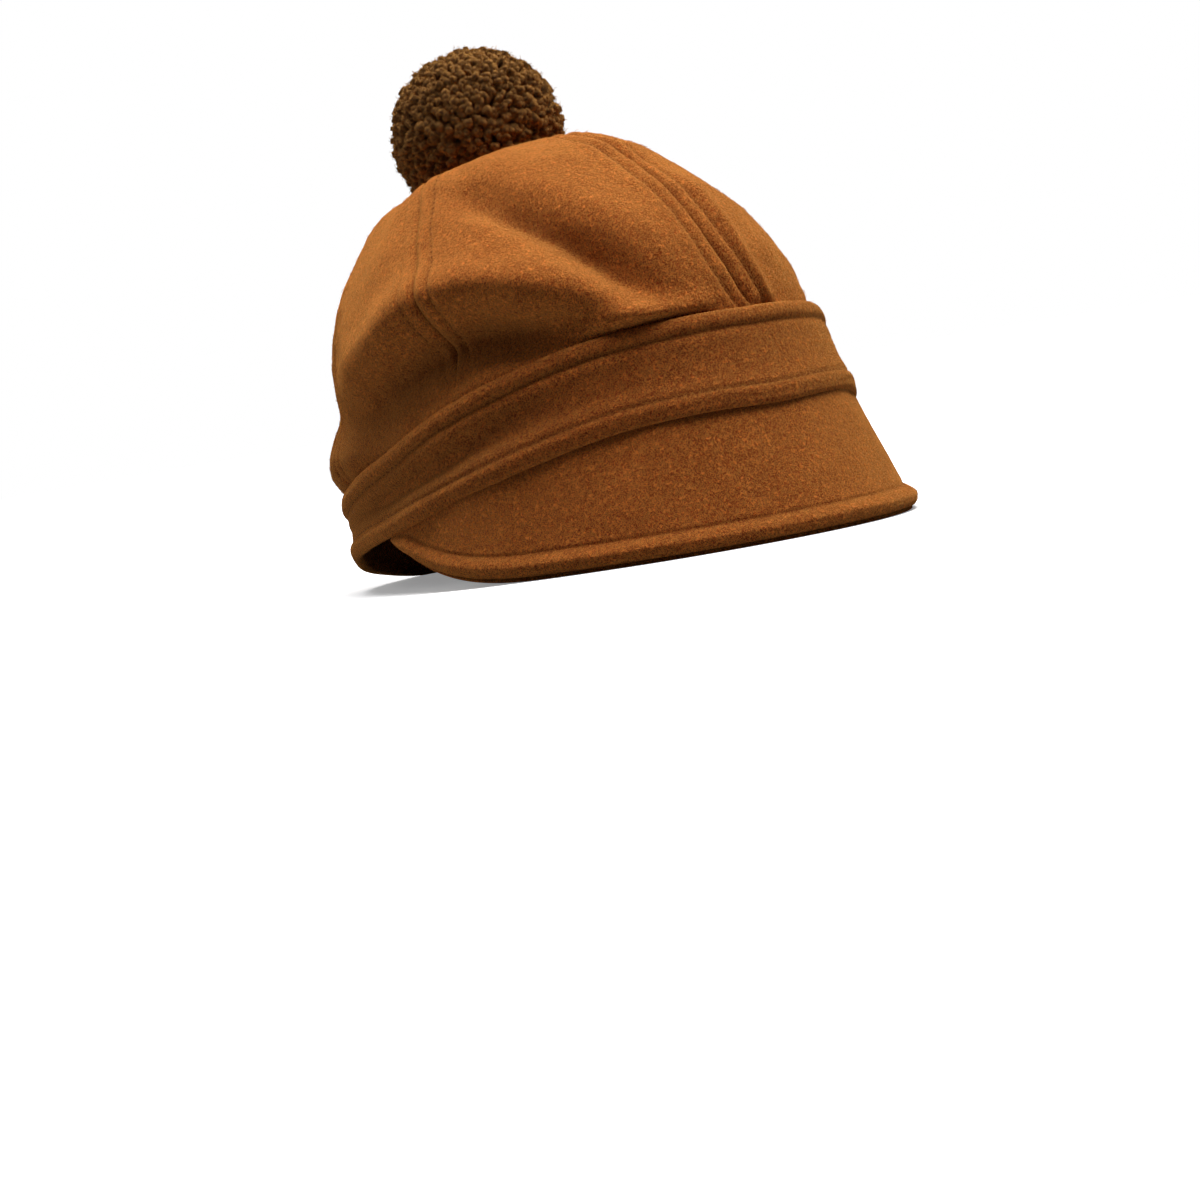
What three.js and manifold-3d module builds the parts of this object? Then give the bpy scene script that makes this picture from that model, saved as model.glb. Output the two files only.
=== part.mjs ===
// A soft wool cap with a pompom: six crown panels, a stitched band, a short steep peak and its facing.
// Front is -Y, the wearer's right is -X. Angles run from the front (0) towards the wearer's right (90)
// and the back (180), and are negative on the wearer's left. Everything is in millimetres and degrees.
import * as THREE from "three";
import { mergeVertices } from "three/addons/utils/BufferGeometryUtils.js";
import Module from "manifold-3d";

const wasm = await Module();
wasm.setup();

// Driving dimensions
const HALF_WIDTH = 83.9; // outside of the band at its lower edge, across the head
const HALF_LENGTH = 100.9; // and from front to back
const BAND_LEAN = 6.4; // the band leans inward by this angle
const BAND_WALL = 3.2; // two layers of cloth with a turned seam
const CLOTH = 2.4; // the crown's felted wool
const GAP = 0.3; // between sewn pieces
const PEAK_FLARE = 11; // the peak leans outward by this angle
const PEAK_END = 98; // the peak's tips, as an angle from the front
const PEAK_COVER = 2.4;
const PEAK_FACING = 1.6;
const PEAK_INSET = 0.8; // the peak's face lies this far inside the band's edge
const POMPOM_RADIUS = 30;
const POMPOM_CENTRE = [6.0, 15.2, 137.2];

// The cap stands on its peak's edge and its back rim, so the band's plane is tipped up in front
const REST_TILT = 12.9;
const REST_PRESS = 0.8; // the cloth of the back rim is pressed flat by this much
const ORIGIN_SHIFT = [0, 6.4, 0]; // puts the origin under the middle of the whole cap

// Heights of the band's two edges over the band's plane, by angle from the front, alike on both sides
const BAND_TOP = {
  angle: [0, 20, 42, 60, 75, 90, 110, 180],
  height: [31.4, 32.4, 33.6, 32.3, 30.4, 27.0, 25.2, 25.2],
};
const BAND_LOW = {
  angle: [0, 20, 38, 55, 75, 95, 112, 128, 152, 180],
  height: [-2.2, -0.3, 1.3, 0.7, -0.4, -0.6, 1.0, 2.0, 0.8, -1.0],
};
const BAND_TOP_MEAN = 34; // the crown's rows are given for a band of this height

// The band's face, from its lower edge up: the edge a place is measured from, how far, and how proud it is
const BAND_FACE = [
  { from: "low", distance: 0, proud: 0.2 },
  { from: "low", distance: 1.6, proud: 1.0 },
  { from: "low", distance: 4.6, proud: 1.6 },
  { from: "low", distance: 7.0, proud: 0.4 },
  { from: "top", distance: 12.5, proud: 0.2 },
  { from: "top", distance: 6.2, proud: -0.1 },
  { from: "top", distance: 3.2, proud: 1.3 },
  { from: "top", distance: 0, proud: 0.3 },
];
const BAND_STATIONS = 52;
const BAND_HOLLOW = { depth: 2.4, angle: 92, spread: 42 }; // the band sinks in behind the wearer's temple

// The crown's rings, from the edge tucked into the band (up = 0) to the top (up = 1).
// follow is how far a ring follows the band's top edge, lean raises it in front and lowers it behind.
const CROWN_COLUMNS = [
  "up", "height", "follow", "right", "left", "front", "back", "centreX", "centreY", "lean",
];
const CROWN_ROWS = [
  [0.00, 25.0, 1.0, 76.9, 76.9, 93.9, 93.9, 0, 0, 0],
  [0.06, 34.3, 1.0, 76.2, 76.2, 93.2, 93.2, 0, 0, 0],
  [0.11, 40.0, 0.95, 77.8, 76.4, 95.2, 96.0, 0, 0, 0],
  [0.19, 50.0, 0.6, 78.6, 73.8, 94.2, 95.5, 0, 0, 0],
  [0.28, 61.0, 0.3, 76.8, 69.8, 90.6, 91.5, 0, 0, 0],
  [0.36, 71.0, 0.1, 73.8, 65.9, 85.5, 87.0, 0, 0, 0],
  [0.44, 80.0, 0, 69.6, 61.4, 78.9, 82.0, 0, 0.5, 0],
  [0.52, 89.0, 0, 64.0, 55.5, 71.0, 76.4, 0.2, 1.5, 0],
  [0.60, 97.0, 0, 58.0, 49.4, 63.0, 70.2, 0.6, 3, 0],
  [0.68, 104.5, 0, 52.4, 44.4, 54.4, 64.2, 1.4, 4.5, 0.5],
  [0.76, 110.2, 0, 47.4, 39.2, 43.8, 59.4, 2.6, 6.5, 1.5],
  [0.83, 114.3, 0, 40.6, 33.2, 31.6, 53.0, 4, 9, 2.2],
  [0.90, 114.4, 0, 27.6, 25.0, 17.0, 39.5, 5.2, 12, 1.5],
  [0.95, 109.2, 0, 14.5, 14.5, 1.0, 29.0, 6, 14.5, 0],
  [1.00, 106.3, 0, 2.2, 2.2, -12.8, 17.2, 6.2, 15, 0],
];

// Folds in the crown: how far each spreads below and above its line, and the stations of that line
// as angle, way up and rise over the plain form
const FOLDS = [
  {
    name: "slanting ledge on the wearer's right", below: 10, above: 11,
    stations: [[118, 0.22, 0], [111, 0.235, 1.5], [100, 0.26, 3], [91, 0.29, 4.5], [81, 0.315, 6],
      [70, 0.33, 7], [56, 0.29, 8], [45, 0.225, 8], [36, 0.15, 7.5], [29, 0.105, 6.5],
      [22, 0.08, 5.5], [16, 0.065, 3.5], [8, 0.055, 0]],
  },
  {
    name: "crease above the ledge", below: 7, above: 10,
    stations: [[68, 0.74, 0], [58, 0.65, -3], [48, 0.55, -6], [38, 0.42, -8], [31, 0.3, -8.5],
      [26, 0.2, -8.5], [21, 0.145, -7.5], [16, 0.11, -4], [11, 0.09, 0]],
  },
  {
    name: "bulge over the crease", below: 8, above: 15,
    stations: [[60, 0.8, 0], [50, 0.7, 1.5], [40, 0.57, 3], [32, 0.44, 4], [25, 0.31, 4.5],
      [19, 0.2, 3.5], [13, 0.12, 0]],
  },
  {
    name: "hollow under the ledge", below: 9.5, above: 8,
    stations: [[175, 0.24, 0], [150, 0.24, -1], [128, 0.23, -2.2], [113, 0.205, -4.5],
      [94, 0.19, -8.5], [82, 0.185, -10], [71, 0.18, -11], [61, 0.17, -10.5], [51, 0.135, -8],
      [41, 0.095, -4.5], [32, 0.07, 0]],
  },
  {
    name: "roll over the band", below: 8, above: 10,
    stations: [[178, 0.12, 1.5], [150, 0.13, 3.5], [128, 0.135, 4.6], [108, 0.125, 3],
      [94, 0.115, 0.5], [86, 0.105, 0]],
  },
  {
    name: "dent behind the right seam", below: 14, above: 18,
    stations: [[165, 0.3, 0], [140, 0.29, -1.5], [120, 0.3, -1.5], [100, 0.34, 0]],
  },
  {
    name: "soft ridge beside the front seam", below: 4.5, above: 4.5,
    stations: [[-11, 0.48, 0], [-11, 0.4, 1.5], [-10, 0.33, 1.8], [-8, 0.24, 1.8], [-9, 0.17, 1.8],
      [-11, 0.11, 1.5], [-13, 0.07, 1]],
  },
];
const FOLD_START = { from: 0.06, full: 0.08 }; // folds fade out where the crown is tucked into the band

// Crown panels between neighbouring seams. Where the cloth is folded a panel has more columns.
const PANELS = [
  { name: "crown_back_left", from: -180, to: -120, middleColumns: 4 },
  { name: "crown_side_left", from: -120, to: -69, middleColumns: 4 },
  { name: "crown_front_left", from: -69, to: 0, middleColumns: 4 },
  { name: "crown_front_right", from: 0, to: 69, middleColumns: 9 },
  { name: "crown_side_right", from: 69, to: 120, middleColumns: 7 },
  { name: "crown_back_right", from: 120, to: 180, middleColumns: 5 },
];
// The way up of the grid lines across a panel
const PANEL_LINES = [
  0, 0.06, 0.1, 0.14, 0.18, 0.225, 0.27, 0.32, 0.38, 0.44, 0.52, 0.6, 0.68, 0.76, 0.83, 0.9, 0.95, 1,
];
// A seam's relief: distance from the seam, and how proud the cloth stands there
const SEAM_RELIEF = [[0, -1.2], [3.2, 0.8], [6.5, -0.4], [9.5, 0]];
const SEAM_FREE_WIDTH = 40; // in a panel narrower than this the relief shrinks with it
// By how many degrees a seam strays from its line, by the way up
const SEAM_DRIFT = {
  0: { up: [0, 0.06, 0.12, 0.2, 0.45, 0.6, 0.75, 1], degrees: [-4, -4, -2, 0, 0, -2, 0, 0] },
  69: {
    up: [0, 0.13, 0.2, 0.27, 0.38, 0.5, 0.62, 0.76, 1],
    degrees: [-1, -1, 0, 0.5, 2, 3.5, 4.5, 5, 0],
  },
};

// The peak's rolled and stitched edge: distance up from the ground and how proud it is
const PEAK_EDGE = [
  { distance: 2.1, proud: -0.6 },
  { distance: 3.4, proud: 1.4 },
  { distance: 6.0, proud: 2.0 },
  { distance: 9.0, proud: 0.2 },
  { distance: 10.6, proud: 0 },
];
// The facing comes out under that edge and shows as a thin layer of its own
const FACING_EDGE = [
  { distance: 0, proud: 1.4 },
  { distance: 1.5, proud: 1.7 },
  { distance: 1.8, proud: 0 },
];
const PEAK_STATIONS = 36;
const PEAK_WELT_ROOM = 12; // the welt shrinks where the peak is shorter than this
const PEAK_FLAT = 60; // the peak's edge lies on the ground as far as this angle
const PEAK_CURVE = 2.5; // and then lifts with this power of the angle
const PEAK_MEETS_BAND = 100; // up to the band at this angle

const radians = THREE.MathUtils.degToRad;

const smoothstep = THREE.MathUtils.smoothstep;

// A smooth curve through a short table
function through(xs, ys, x) {
  const last = xs.length - 1;
  const slope = (i) => {
    if (i === 0) return (ys[1] - ys[0]) / (xs[1] - xs[0]);
    if (i === last) return (ys[last] - ys[last - 1]) / (xs[last] - xs[last - 1]);
    const before = xs[i] - xs[i - 1];
    const after = xs[i + 1] - xs[i];
    const ahead = (ys[i + 1] - ys[i]) / after;
    const behind = (ys[i] - ys[i - 1]) / before;
    return (before * ahead + after * behind) / (before + after);
  };
  const place = THREE.MathUtils.clamp(x, xs[0], xs[last]);
  let i = 0;
  while (i < last - 1 && place >= xs[i + 1]) i += 1;
  const width = xs[i + 1] - xs[i];
  const t = (place - xs[i]) / width;
  const start = (2 * t ** 3 - 3 * t ** 2 + 1) * ys[i] + (t ** 3 - 2 * t ** 2 + t) * width * slope(i);
  return start + (3 * t ** 2 - 2 * t ** 3) * ys[i + 1] + (t ** 3 - t ** 2) * width * slope(i + 1);
}

const bandTop = (angle) => through(BAND_TOP.angle, BAND_TOP.height, Math.abs(angle));
const bandLow = (angle) => through(BAND_LOW.angle, BAND_LOW.height, Math.abs(angle));

// From the band's own frame, whose floor is the band's plane, to the standing cap
const tilt = radians(REST_TILT);
const REST_LIFT = HALF_LENGTH * Math.sin(tilt) - bandLow(180) * Math.cos(tilt) - REST_PRESS;

function stand(point) {
  const y = point.y * Math.cos(tilt) + point.z * Math.sin(tilt);
  const z = -point.y * Math.sin(tilt) + point.z * Math.cos(tilt) + REST_LIFT;
  return new THREE.Vector3(point.x, y, Math.max(z, 0)).add(new THREE.Vector3(...ORIGIN_SHIFT));
}

// A thin body from rows of facing points: rows[i].outer[j] lies over rows[i].inner[j]
function thinBody(rows, closed) {
  const columns = rows[0].outer.length;
  const positions = [];
  for (const row of rows) {
    for (const point of [...row.outer, ...row.inner]) {
      const standing = stand(point);
      positions.push(standing.x, standing.y, standing.z);
    }
  }
  const outer = (i, j) => (i % rows.length) * 2 * columns + j;
  const inner = (i, j) => outer(i, j) + columns;
  const indices = [];
  const quad = (a, b, c, d) => indices.push(a, b, c, a, c, d);
  const last = closed ? rows.length : rows.length - 1;
  const top = columns - 1;
  for (let i = 0; i < last; i += 1) {
    for (let j = 0; j < columns - 1; j += 1) {
      quad(outer(i, j), outer(i + 1, j), outer(i + 1, j + 1), outer(i, j + 1));
      quad(inner(i, j), inner(i, j + 1), inner(i + 1, j + 1), inner(i + 1, j));
    }
    quad(outer(i, 0), inner(i, 0), inner(i + 1, 0), outer(i + 1, 0));
    quad(outer(i, top), outer(i + 1, top), inner(i + 1, top), inner(i, top));
  }
  if (!closed) {
    for (let j = 0; j < columns - 1; j += 1) {
      quad(outer(0, j), outer(0, j + 1), inner(0, j + 1), inner(0, j));
      quad(outer(last, j), inner(last, j), inner(last, j + 1), outer(last, j + 1));
    }
  }
  return facedOutward(positions, indices);
}

// Turns all faces over if the body came out inside out
function facedOutward(positions, indices) {
  const corner = (k) => new THREE.Vector3().fromArray(positions, 3 * indices[k]);
  let volume = 0;
  for (let k = 0; k < indices.length; k += 3) volume += corner(k).dot(corner(k + 1).cross(corner(k + 2)));
  const geometry = new THREE.BufferGeometry();
  geometry.setAttribute("position", new THREE.Float32BufferAttribute(positions, 3));
  geometry.setIndex(volume > 0 ? indices : [...indices].reverse());
  geometry.computeVertexNormals();
  return geometry;
}

// Crown

function crownRing(up) {
  const ups = CROWN_ROWS.map((row) => row[0]);
  const ring = {};
  CROWN_COLUMNS.forEach((name, column) => {
    ring[name] = through(ups, CROWN_ROWS.map((row) => row[column]), up);
  });
  return ring;
}

// The crown's form before its folds
function crownForm(angle, up) {
  const ring = crownRing(up);
  const turn = radians(angle);
  const across = Math.sin(turn) > 0 ? ring.right : ring.left;
  const along = Math.cos(turn) > 0 ? ring.front + ring.centreY : ring.back - ring.centreY;
  return new THREE.Vector3(
    ring.centreX - across * Math.sin(turn),
    ring.centreY - along * Math.cos(turn),
    ring.height + ring.follow * (bandTop(angle) - BAND_TOP_MEAN) + ring.lean * Math.cos(turn),
  );
}

function crownNormal(angle, up) {
  const step = 0.004; // of the way up
  const around = crownForm(angle + 1, up).sub(crownForm(angle - 1, up));
  const rise = crownForm(angle, Math.min(up + step, 1)).sub(crownForm(angle, Math.max(up - step, 0)));
  return rise.cross(around).normalize();
}

// Each fold's line, as closely spaced points on the crown's form with their rise
const STEPS_BETWEEN_STATIONS = 12;
const foldLines = FOLDS.map((fold) => {
  const places = fold.stations.map((station, i) => i);
  const column = (k, place) => through(places, fold.stations.map((station) => station[k]), place);
  const count = (fold.stations.length - 1) * STEPS_BETWEEN_STATIONS + 1;
  return Array.from({ length: count }, (unused, i) => {
    const place = i / STEPS_BETWEEN_STATIONS;
    return { point: crownForm(column(0, place), column(1, place)), rise: column(2, place) };
  });
});

function foldRise(point, up) {
  let total = 0;
  FOLDS.forEach((fold, k) => {
    let nearest = foldLines[k][0];
    for (const place of foldLines[k]) {
      if (place.point.distanceToSquared(point) < nearest.point.distanceToSquared(point)) nearest = place;
    }
    const spread = point.z > nearest.point.z ? fold.above : fold.below;
    total += nearest.rise * Math.exp(-nearest.point.distanceToSquared(point) / spread ** 2);
  });
  return total * smoothstep(up, FOLD_START.from, FOLD_START.full);
}

function seamAngle(seam, up) {
  const drift = SEAM_DRIFT[seam];
  return drift ? seam + through(drift.up, drift.degrees, up) : seam;
}

// One panel between two seams, its columns set closer together along the seams' relief
function crownPanel(firstSeam, secondSeam, middleColumns) {
  const rows = PANEL_LINES.map((up) => {
    const first = seamAngle(firstSeam, up);
    const second = seamAngle(secondSeam, up);
    const perDegree = (angle) => crownForm(angle + 0.5, up).distanceTo(crownForm(angle - 0.5, up));
    const width = (second - first) * perDegree((first + second) / 2);
    const shrink = Math.min(1, width / SEAM_FREE_WIDTH);
    const relief = shrink * smoothstep(up, FOLD_START.from, FOLD_START.full);
    const edge = SEAM_RELIEF.map(([distance, proud]) => ({
      distance: Math.max(distance * shrink, GAP / 2),
      proud: proud * relief,
    }));
    const beside = (seam, side) => edge.map(({ distance, proud }) => {
      const angle = seam + (side * distance) / perDegree(seam);
      return { angle, proud };
    });
    const columns = beside(first, 1);
    const farColumns = beside(second, -1).reverse();
    const from = columns[columns.length - 1].angle;
    for (let i = 1; i <= middleColumns; i += 1) {
      const share = i / (middleColumns + 1);
      columns.push({ angle: from + (farColumns[0].angle - from) * share, proud: 0 });
    }
    columns.push(...farColumns);
    const outer = [];
    const inner = [];
    for (const { angle, proud } of columns) {
      const form = crownForm(angle, up);
      const normal = crownNormal(angle, up);
      const fold = foldRise(form, up);
      outer.push(form.clone().addScaledVector(normal, fold + proud));
      inner.push(form.clone().addScaledVector(normal, fold - CLOTH));
    }
    return { outer, inner };
  });
  return thinBody(rows, false);
}

// Band and peak

// A point beside the line of the band's lower edge, some way proud of it and over the band's plane
function besideBand(angle, proud, height) {
  const turn = radians(angle);
  const across = -Math.sin(turn);
  const along = -Math.cos(turn);
  const normal = new THREE.Vector3(across / HALF_WIDTH, along / HALF_LENGTH, 0).normalize();
  return new THREE.Vector3(HALF_WIDTH * across, HALF_LENGTH * along, height).addScaledVector(normal, proud);
}

function band() {
  const lean = Math.tan(radians(BAND_LEAN));
  const rows = [];
  for (let i = 0; i < BAND_STATIONS; i += 1) {
    const angle = -180 + (360 * i) / BAND_STATIONS;
    const fromHollow = (angle - BAND_HOLLOW.angle) / BAND_HOLLOW.spread;
    const hollow = BAND_HOLLOW.depth * Math.exp(-(fromHollow ** 2));
    const outer = [];
    const inner = [];
    for (const { from, distance, proud } of BAND_FACE) {
      const height = from === "low" ? bandLow(angle) + distance : bandTop(angle) - distance;
      const share = (height - bandLow(angle)) / (bandTop(angle) - bandLow(angle));
      const sunk = hollow * Math.sin(Math.PI * share) ** 2;
      outer.push(besideBand(angle, proud - sunk - lean * height, height));
      inner.push(besideBand(angle, -BAND_WALL - lean * height, height));
    }
    rows.push({ outer, inner });
  }
  return thinBody(rows, true);
}

// The peak is a cone that hangs from the band's lower edge, long enough to bring its own edge to the ground
const flare = radians(PEAK_FLARE);

function peakPoint(angle, proud, length) {
  const point = besideBand(angle, proud - PEAK_INSET + length * Math.sin(flare), bandLow(angle) - GAP);
  point.z -= length * Math.cos(flare);
  return point;
}

const standingHeight = (point) => -point.y * Math.sin(tilt) + point.z * Math.cos(tilt) + REST_LIFT;

function peakLength(angle, proud) {
  const past = Math.max(Math.abs(angle) - PEAK_FLAT, 0) / (PEAK_MEETS_BAND - PEAK_FLAT);
  const edgeHeight = standingHeight(peakPoint(PEAK_MEETS_BAND, 0, 0)) * past ** PEAK_CURVE;
  const start = standingHeight(peakPoint(angle, proud, 0));
  const fallPerLength = start - standingHeight(peakPoint(angle, proud, 1));
  return (start - edgeHeight) / fallPerLength;
}

function peakLayer(edge, top, bottom) {
  const rows = [];
  for (let i = 0; i <= PEAK_STATIONS; i += 1) {
    const angle = -PEAK_END + (2 * PEAK_END * i) / PEAK_STATIONS;
    const outer = [];
    const inner = [];
    for (const { distance, proud } of edge) {
      const welt = Math.min(1, peakLength(angle, 0) / PEAK_WELT_ROOM);
      const out = top + proud * welt;
      outer.push(peakPoint(angle, out, peakLength(angle, out) - distance * welt));
      inner.push(peakPoint(angle, bottom, peakLength(angle, bottom) - distance * welt));
    }
    outer.push(peakPoint(angle, top, 0));
    inner.push(peakPoint(angle, bottom, 0));
    rows.push({ outer, inner });
  }
  return thinBody(rows, false);
}

// Pompom: locks of yarn fused to a core, and the tied neck that goes down through the crown's top
const LOCKS = 60;
const LOCK = { outerRadius: 4.8, innerRadius: 3.6, length: 8, sides: 5 };
const CORE_RADIUS = 27;
const NECK = { radius: 1.7, length: 33.5, sides: 8 };

function toManifold(geometry) {
  const bare = geometry.clone();
  bare.deleteAttribute("normal");
  bare.deleteAttribute("uv");
  const merged = mergeVertices(bare, 1e-4);
  return new wasm.Manifold(new wasm.Mesh({
    numProp: 3,
    vertProperties: new Float32Array(merged.attributes.position.array),
    triVerts: new Uint32Array(merged.index.array),
  }));
}

function pompom() {
  const golden = Math.PI * (3 - Math.sqrt(5));
  let body = toManifold(new THREE.IcosahedronGeometry(CORE_RADIUS, 3));
  for (let i = 0; i < LOCKS; i += 1) {
    const height = -1 + (2 * i) / (LOCKS - 1);
    const ring = Math.sqrt(1 - height * height);
    const direction = new THREE.Vector3(ring * Math.cos(golden * i), ring * Math.sin(golden * i), height);
    const lock = new THREE.CylinderGeometry(LOCK.outerRadius, LOCK.innerRadius, LOCK.length, LOCK.sides);
    lock.translate(0, POMPOM_RADIUS - LOCK.length / 2, 0);
    lock.applyQuaternion(new THREE.Quaternion().setFromUnitVectors(new THREE.Vector3(0, 1, 0), direction));
    body = body.add(toManifold(lock));
  }
  const neck = new THREE.CylinderGeometry(NECK.radius, NECK.radius, NECK.length, NECK.sides);
  neck.rotateX(Math.PI / 2);
  neck.translate(0, 0, -NECK.length / 2);
  const mesh = body.add(toManifold(neck)).getMesh();
  const centre = new THREE.Vector3(...POMPOM_CENTRE);
  const positions = [];
  for (let k = 0; k < mesh.vertProperties.length; k += 3) {
    const standing = stand(new THREE.Vector3().fromArray(mesh.vertProperties, k).add(centre));
    positions.push(standing.x, standing.y, standing.z);
  }
  return facedOutward(positions, Array.from(mesh.triVerts));
}

// Materials
const wool = new THREE.MeshStandardMaterial({ color: 0xa8611f, roughness: 0.95, metalness: 0 });
const bandWool = new THREE.MeshStandardMaterial({ color: 0x9c581b, roughness: 0.95, metalness: 0 });
const peakWool = new THREE.MeshStandardMaterial({ color: 0x985419, roughness: 0.95, metalness: 0 });
const yarn = new THREE.MeshStandardMaterial({ color: 0x6b4a1c, roughness: 1, metalness: 0 });

// The cap
const cap = new THREE.Group();

function addPiece(name, geometry, material) {
  const mesh = new THREE.Mesh(geometry, material);
  mesh.name = name;
  cap.add(mesh);
}

for (const { name, from, to, middleColumns } of PANELS) {
  addPiece(name, crownPanel(from, to, middleColumns), wool);
}
addPiece("band", band(), bandWool);
addPiece("peak_cover", peakLayer(PEAK_EDGE, 0, -PEAK_COVER), peakWool);
const facingTop = -PEAK_COVER - GAP;
const facingBottom = facingTop - PEAK_FACING;
addPiece("peak_facing", peakLayer(FACING_EDGE, facingTop, facingBottom), peakWool);
addPiece("pompom", pompom(), yarn);

export default cap;
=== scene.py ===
# %% [markdown]
# # A soft wool cap with a pompom
#
# This lesson dresses a set of plain solids as a cap of felted wool: six crown panels, a stitched
# band, a short steep peak with its facing, and a pompom of cut yarn. The solids come ready made, at
# their real size, and are never moved. Each one is replaced here by a finer mesh that lies where the
# solid lies, because thick cloth is told by its rolled edges, pressed stitch lines and nap.

# %% Tools, and the solids that everything is fitted to
import math

import bpy
import numpy as np
from mathutils import Matrix, Vector


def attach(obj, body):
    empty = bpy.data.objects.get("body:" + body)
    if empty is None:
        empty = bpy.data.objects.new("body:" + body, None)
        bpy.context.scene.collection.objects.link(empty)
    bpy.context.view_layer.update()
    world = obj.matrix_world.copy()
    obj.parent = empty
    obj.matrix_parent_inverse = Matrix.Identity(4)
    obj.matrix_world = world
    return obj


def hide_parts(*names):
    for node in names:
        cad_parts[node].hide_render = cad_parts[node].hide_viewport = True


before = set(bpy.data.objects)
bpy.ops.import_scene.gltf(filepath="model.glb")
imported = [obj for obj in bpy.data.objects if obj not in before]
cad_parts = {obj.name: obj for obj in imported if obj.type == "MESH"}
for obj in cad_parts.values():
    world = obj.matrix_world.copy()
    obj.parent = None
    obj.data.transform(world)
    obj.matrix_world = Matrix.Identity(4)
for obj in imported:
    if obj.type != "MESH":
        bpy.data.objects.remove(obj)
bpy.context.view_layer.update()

# %% [markdown]
# ## Camera
#
# A long lens from the cap's right front corner, a hand's breadth over the table. The photographer
# stood well back, which keeps the round crown from bulging, so the lens is long and the camera is
# more than a metre away. Its place was worked out by fitting a pinhole camera to the cap's edges.

# %% Camera
CAMERA_PLACE = Vector((-0.7417, -0.9370, 0.0602))
CAMERA_AZIMUTH = math.radians(-37.79)
CAMERA_ELEVATION = math.radians(3.6)
CAMERA_ROLL = math.radians(-9.57)
PHOTO_SIDE = 1200  # pixels
FOCAL_LENGTH = 3492  # in the same pixels

camera_data = bpy.data.cameras.new("camera")
camera_data.lens = FOCAL_LENGTH / PHOTO_SIDE * camera_data.sensor_width
camera = bpy.data.objects.new("camera", camera_data)
bpy.context.collection.objects.link(camera)

back = Vector((
    math.sin(CAMERA_AZIMUTH) * math.cos(CAMERA_ELEVATION),
    -math.cos(CAMERA_AZIMUTH) * math.cos(CAMERA_ELEVATION),
    math.sin(CAMERA_ELEVATION),
))
level = Vector((0, 0, 1)).cross(back).normalized()
upright = back.cross(level)
right = level * math.cos(CAMERA_ROLL) + upright * math.sin(CAMERA_ROLL)
above = upright * math.cos(CAMERA_ROLL) - level * math.sin(CAMERA_ROLL)
camera.matrix_world = Matrix((
    (right.x, above.x, back.x, CAMERA_PLACE.x),
    (right.y, above.y, back.y, CAMERA_PLACE.y),
    (right.z, above.z, back.z, CAMERA_PLACE.z),
    (0, 0, 0, 1),
))
bpy.context.scene.camera = camera
print("Lens of", round(camera_data.lens), "mm")

# %% [markdown]
# ## The table
#
# The table is a plain pale plane. It is paler for the camera than for the light that it throws back,
# or the undersides of the cap would be too light. It also glows for the camera, less under the cap
# than far away, so that only a soft shadow shows and the table has no visible end.

# %% The table
FLOOR_HALF = 8.0
PALE_TO_CAMERA = (0.86, 0.86, 0.86, 1)
PALE_TO_LIGHT = (0.27, 0.27, 0.27, 1)
TABLE_GLOW = {"under the cap": 0.25, "far away": 1.0, "far": 0.9}


def table_paint():
    """Matt pale paint, paler for the camera, that glows more the further it is from the cap."""
    paint = bpy.data.materials.new("pale table")
    paint.use_nodes = True
    tree = paint.node_tree
    shader = tree.nodes["Principled BSDF"]
    shader.inputs["Roughness"].default_value = 0.9
    shader.inputs["Specular IOR Level"].default_value = 0.1
    shader.inputs["Emission Strength"].default_value = 1.0
    ray = tree.nodes.new("ShaderNodeLightPath")
    tone = tree.nodes.new("ShaderNodeMix")
    tone.data_type = "RGBA"
    tone.inputs[6].default_value = PALE_TO_LIGHT
    tone.inputs[7].default_value = PALE_TO_CAMERA
    tree.links.new(ray.outputs["Is Camera Ray"], tone.inputs[0])
    tree.links.new(tone.outputs[2], shader.inputs["Base Color"])
    place = tree.nodes.new("ShaderNodeTexCoord")
    away = tree.nodes.new("ShaderNodeVectorMath")
    away.operation = "LENGTH"
    fade = tree.nodes.new("ShaderNodeMapRange")
    fade.interpolation_type = "SMOOTHSTEP"
    fade.inputs["From Min"].default_value = 0.0
    fade.inputs["From Max"].default_value = TABLE_GLOW["far"]
    fade.inputs["To Min"].default_value = TABLE_GLOW["under the cap"]
    fade.inputs["To Max"].default_value = TABLE_GLOW["far away"]
    shown = tree.nodes.new("ShaderNodeMath")
    shown.operation = "MULTIPLY"
    tree.links.new(place.outputs["Object"], away.inputs[0])
    tree.links.new(away.outputs["Value"], fade.inputs["Value"])
    tree.links.new(fade.outputs["Result"], shown.inputs[0])
    tree.links.new(ray.outputs["Is Camera Ray"], shown.inputs[1])
    tree.links.new(shown.outputs["Value"], shader.inputs["Emission Color"])
    return paint


floor_data = bpy.data.meshes.new("floor")
floor_data.from_pydata(
    [(-FLOOR_HALF, -FLOOR_HALF, 0), (FLOOR_HALF, -FLOOR_HALF, 0),
     (FLOOR_HALF, FLOOR_HALF, 0), (-FLOOR_HALF, FLOOR_HALF, 0)], [], [(0, 1, 2, 3)],
)
floor = bpy.data.objects.new("floor", floor_data)
bpy.context.collection.objects.link(floor)
floor_data.materials.append(table_paint())
print("The table is", 2 * FLOOR_HALF, "m wide")

# %% [markdown]
# ## The light
#
# Product photographs of cloth use one broad soft light from above, so that every fold has a light
# upper side and a dark lower side. A sun would be too hard and a lit dome alone too flat, so there
# is a big softbox overhead and a little in front, a weaker one further back, a small one low behind
# that only touches the left outline, and a dim glow all round.

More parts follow.
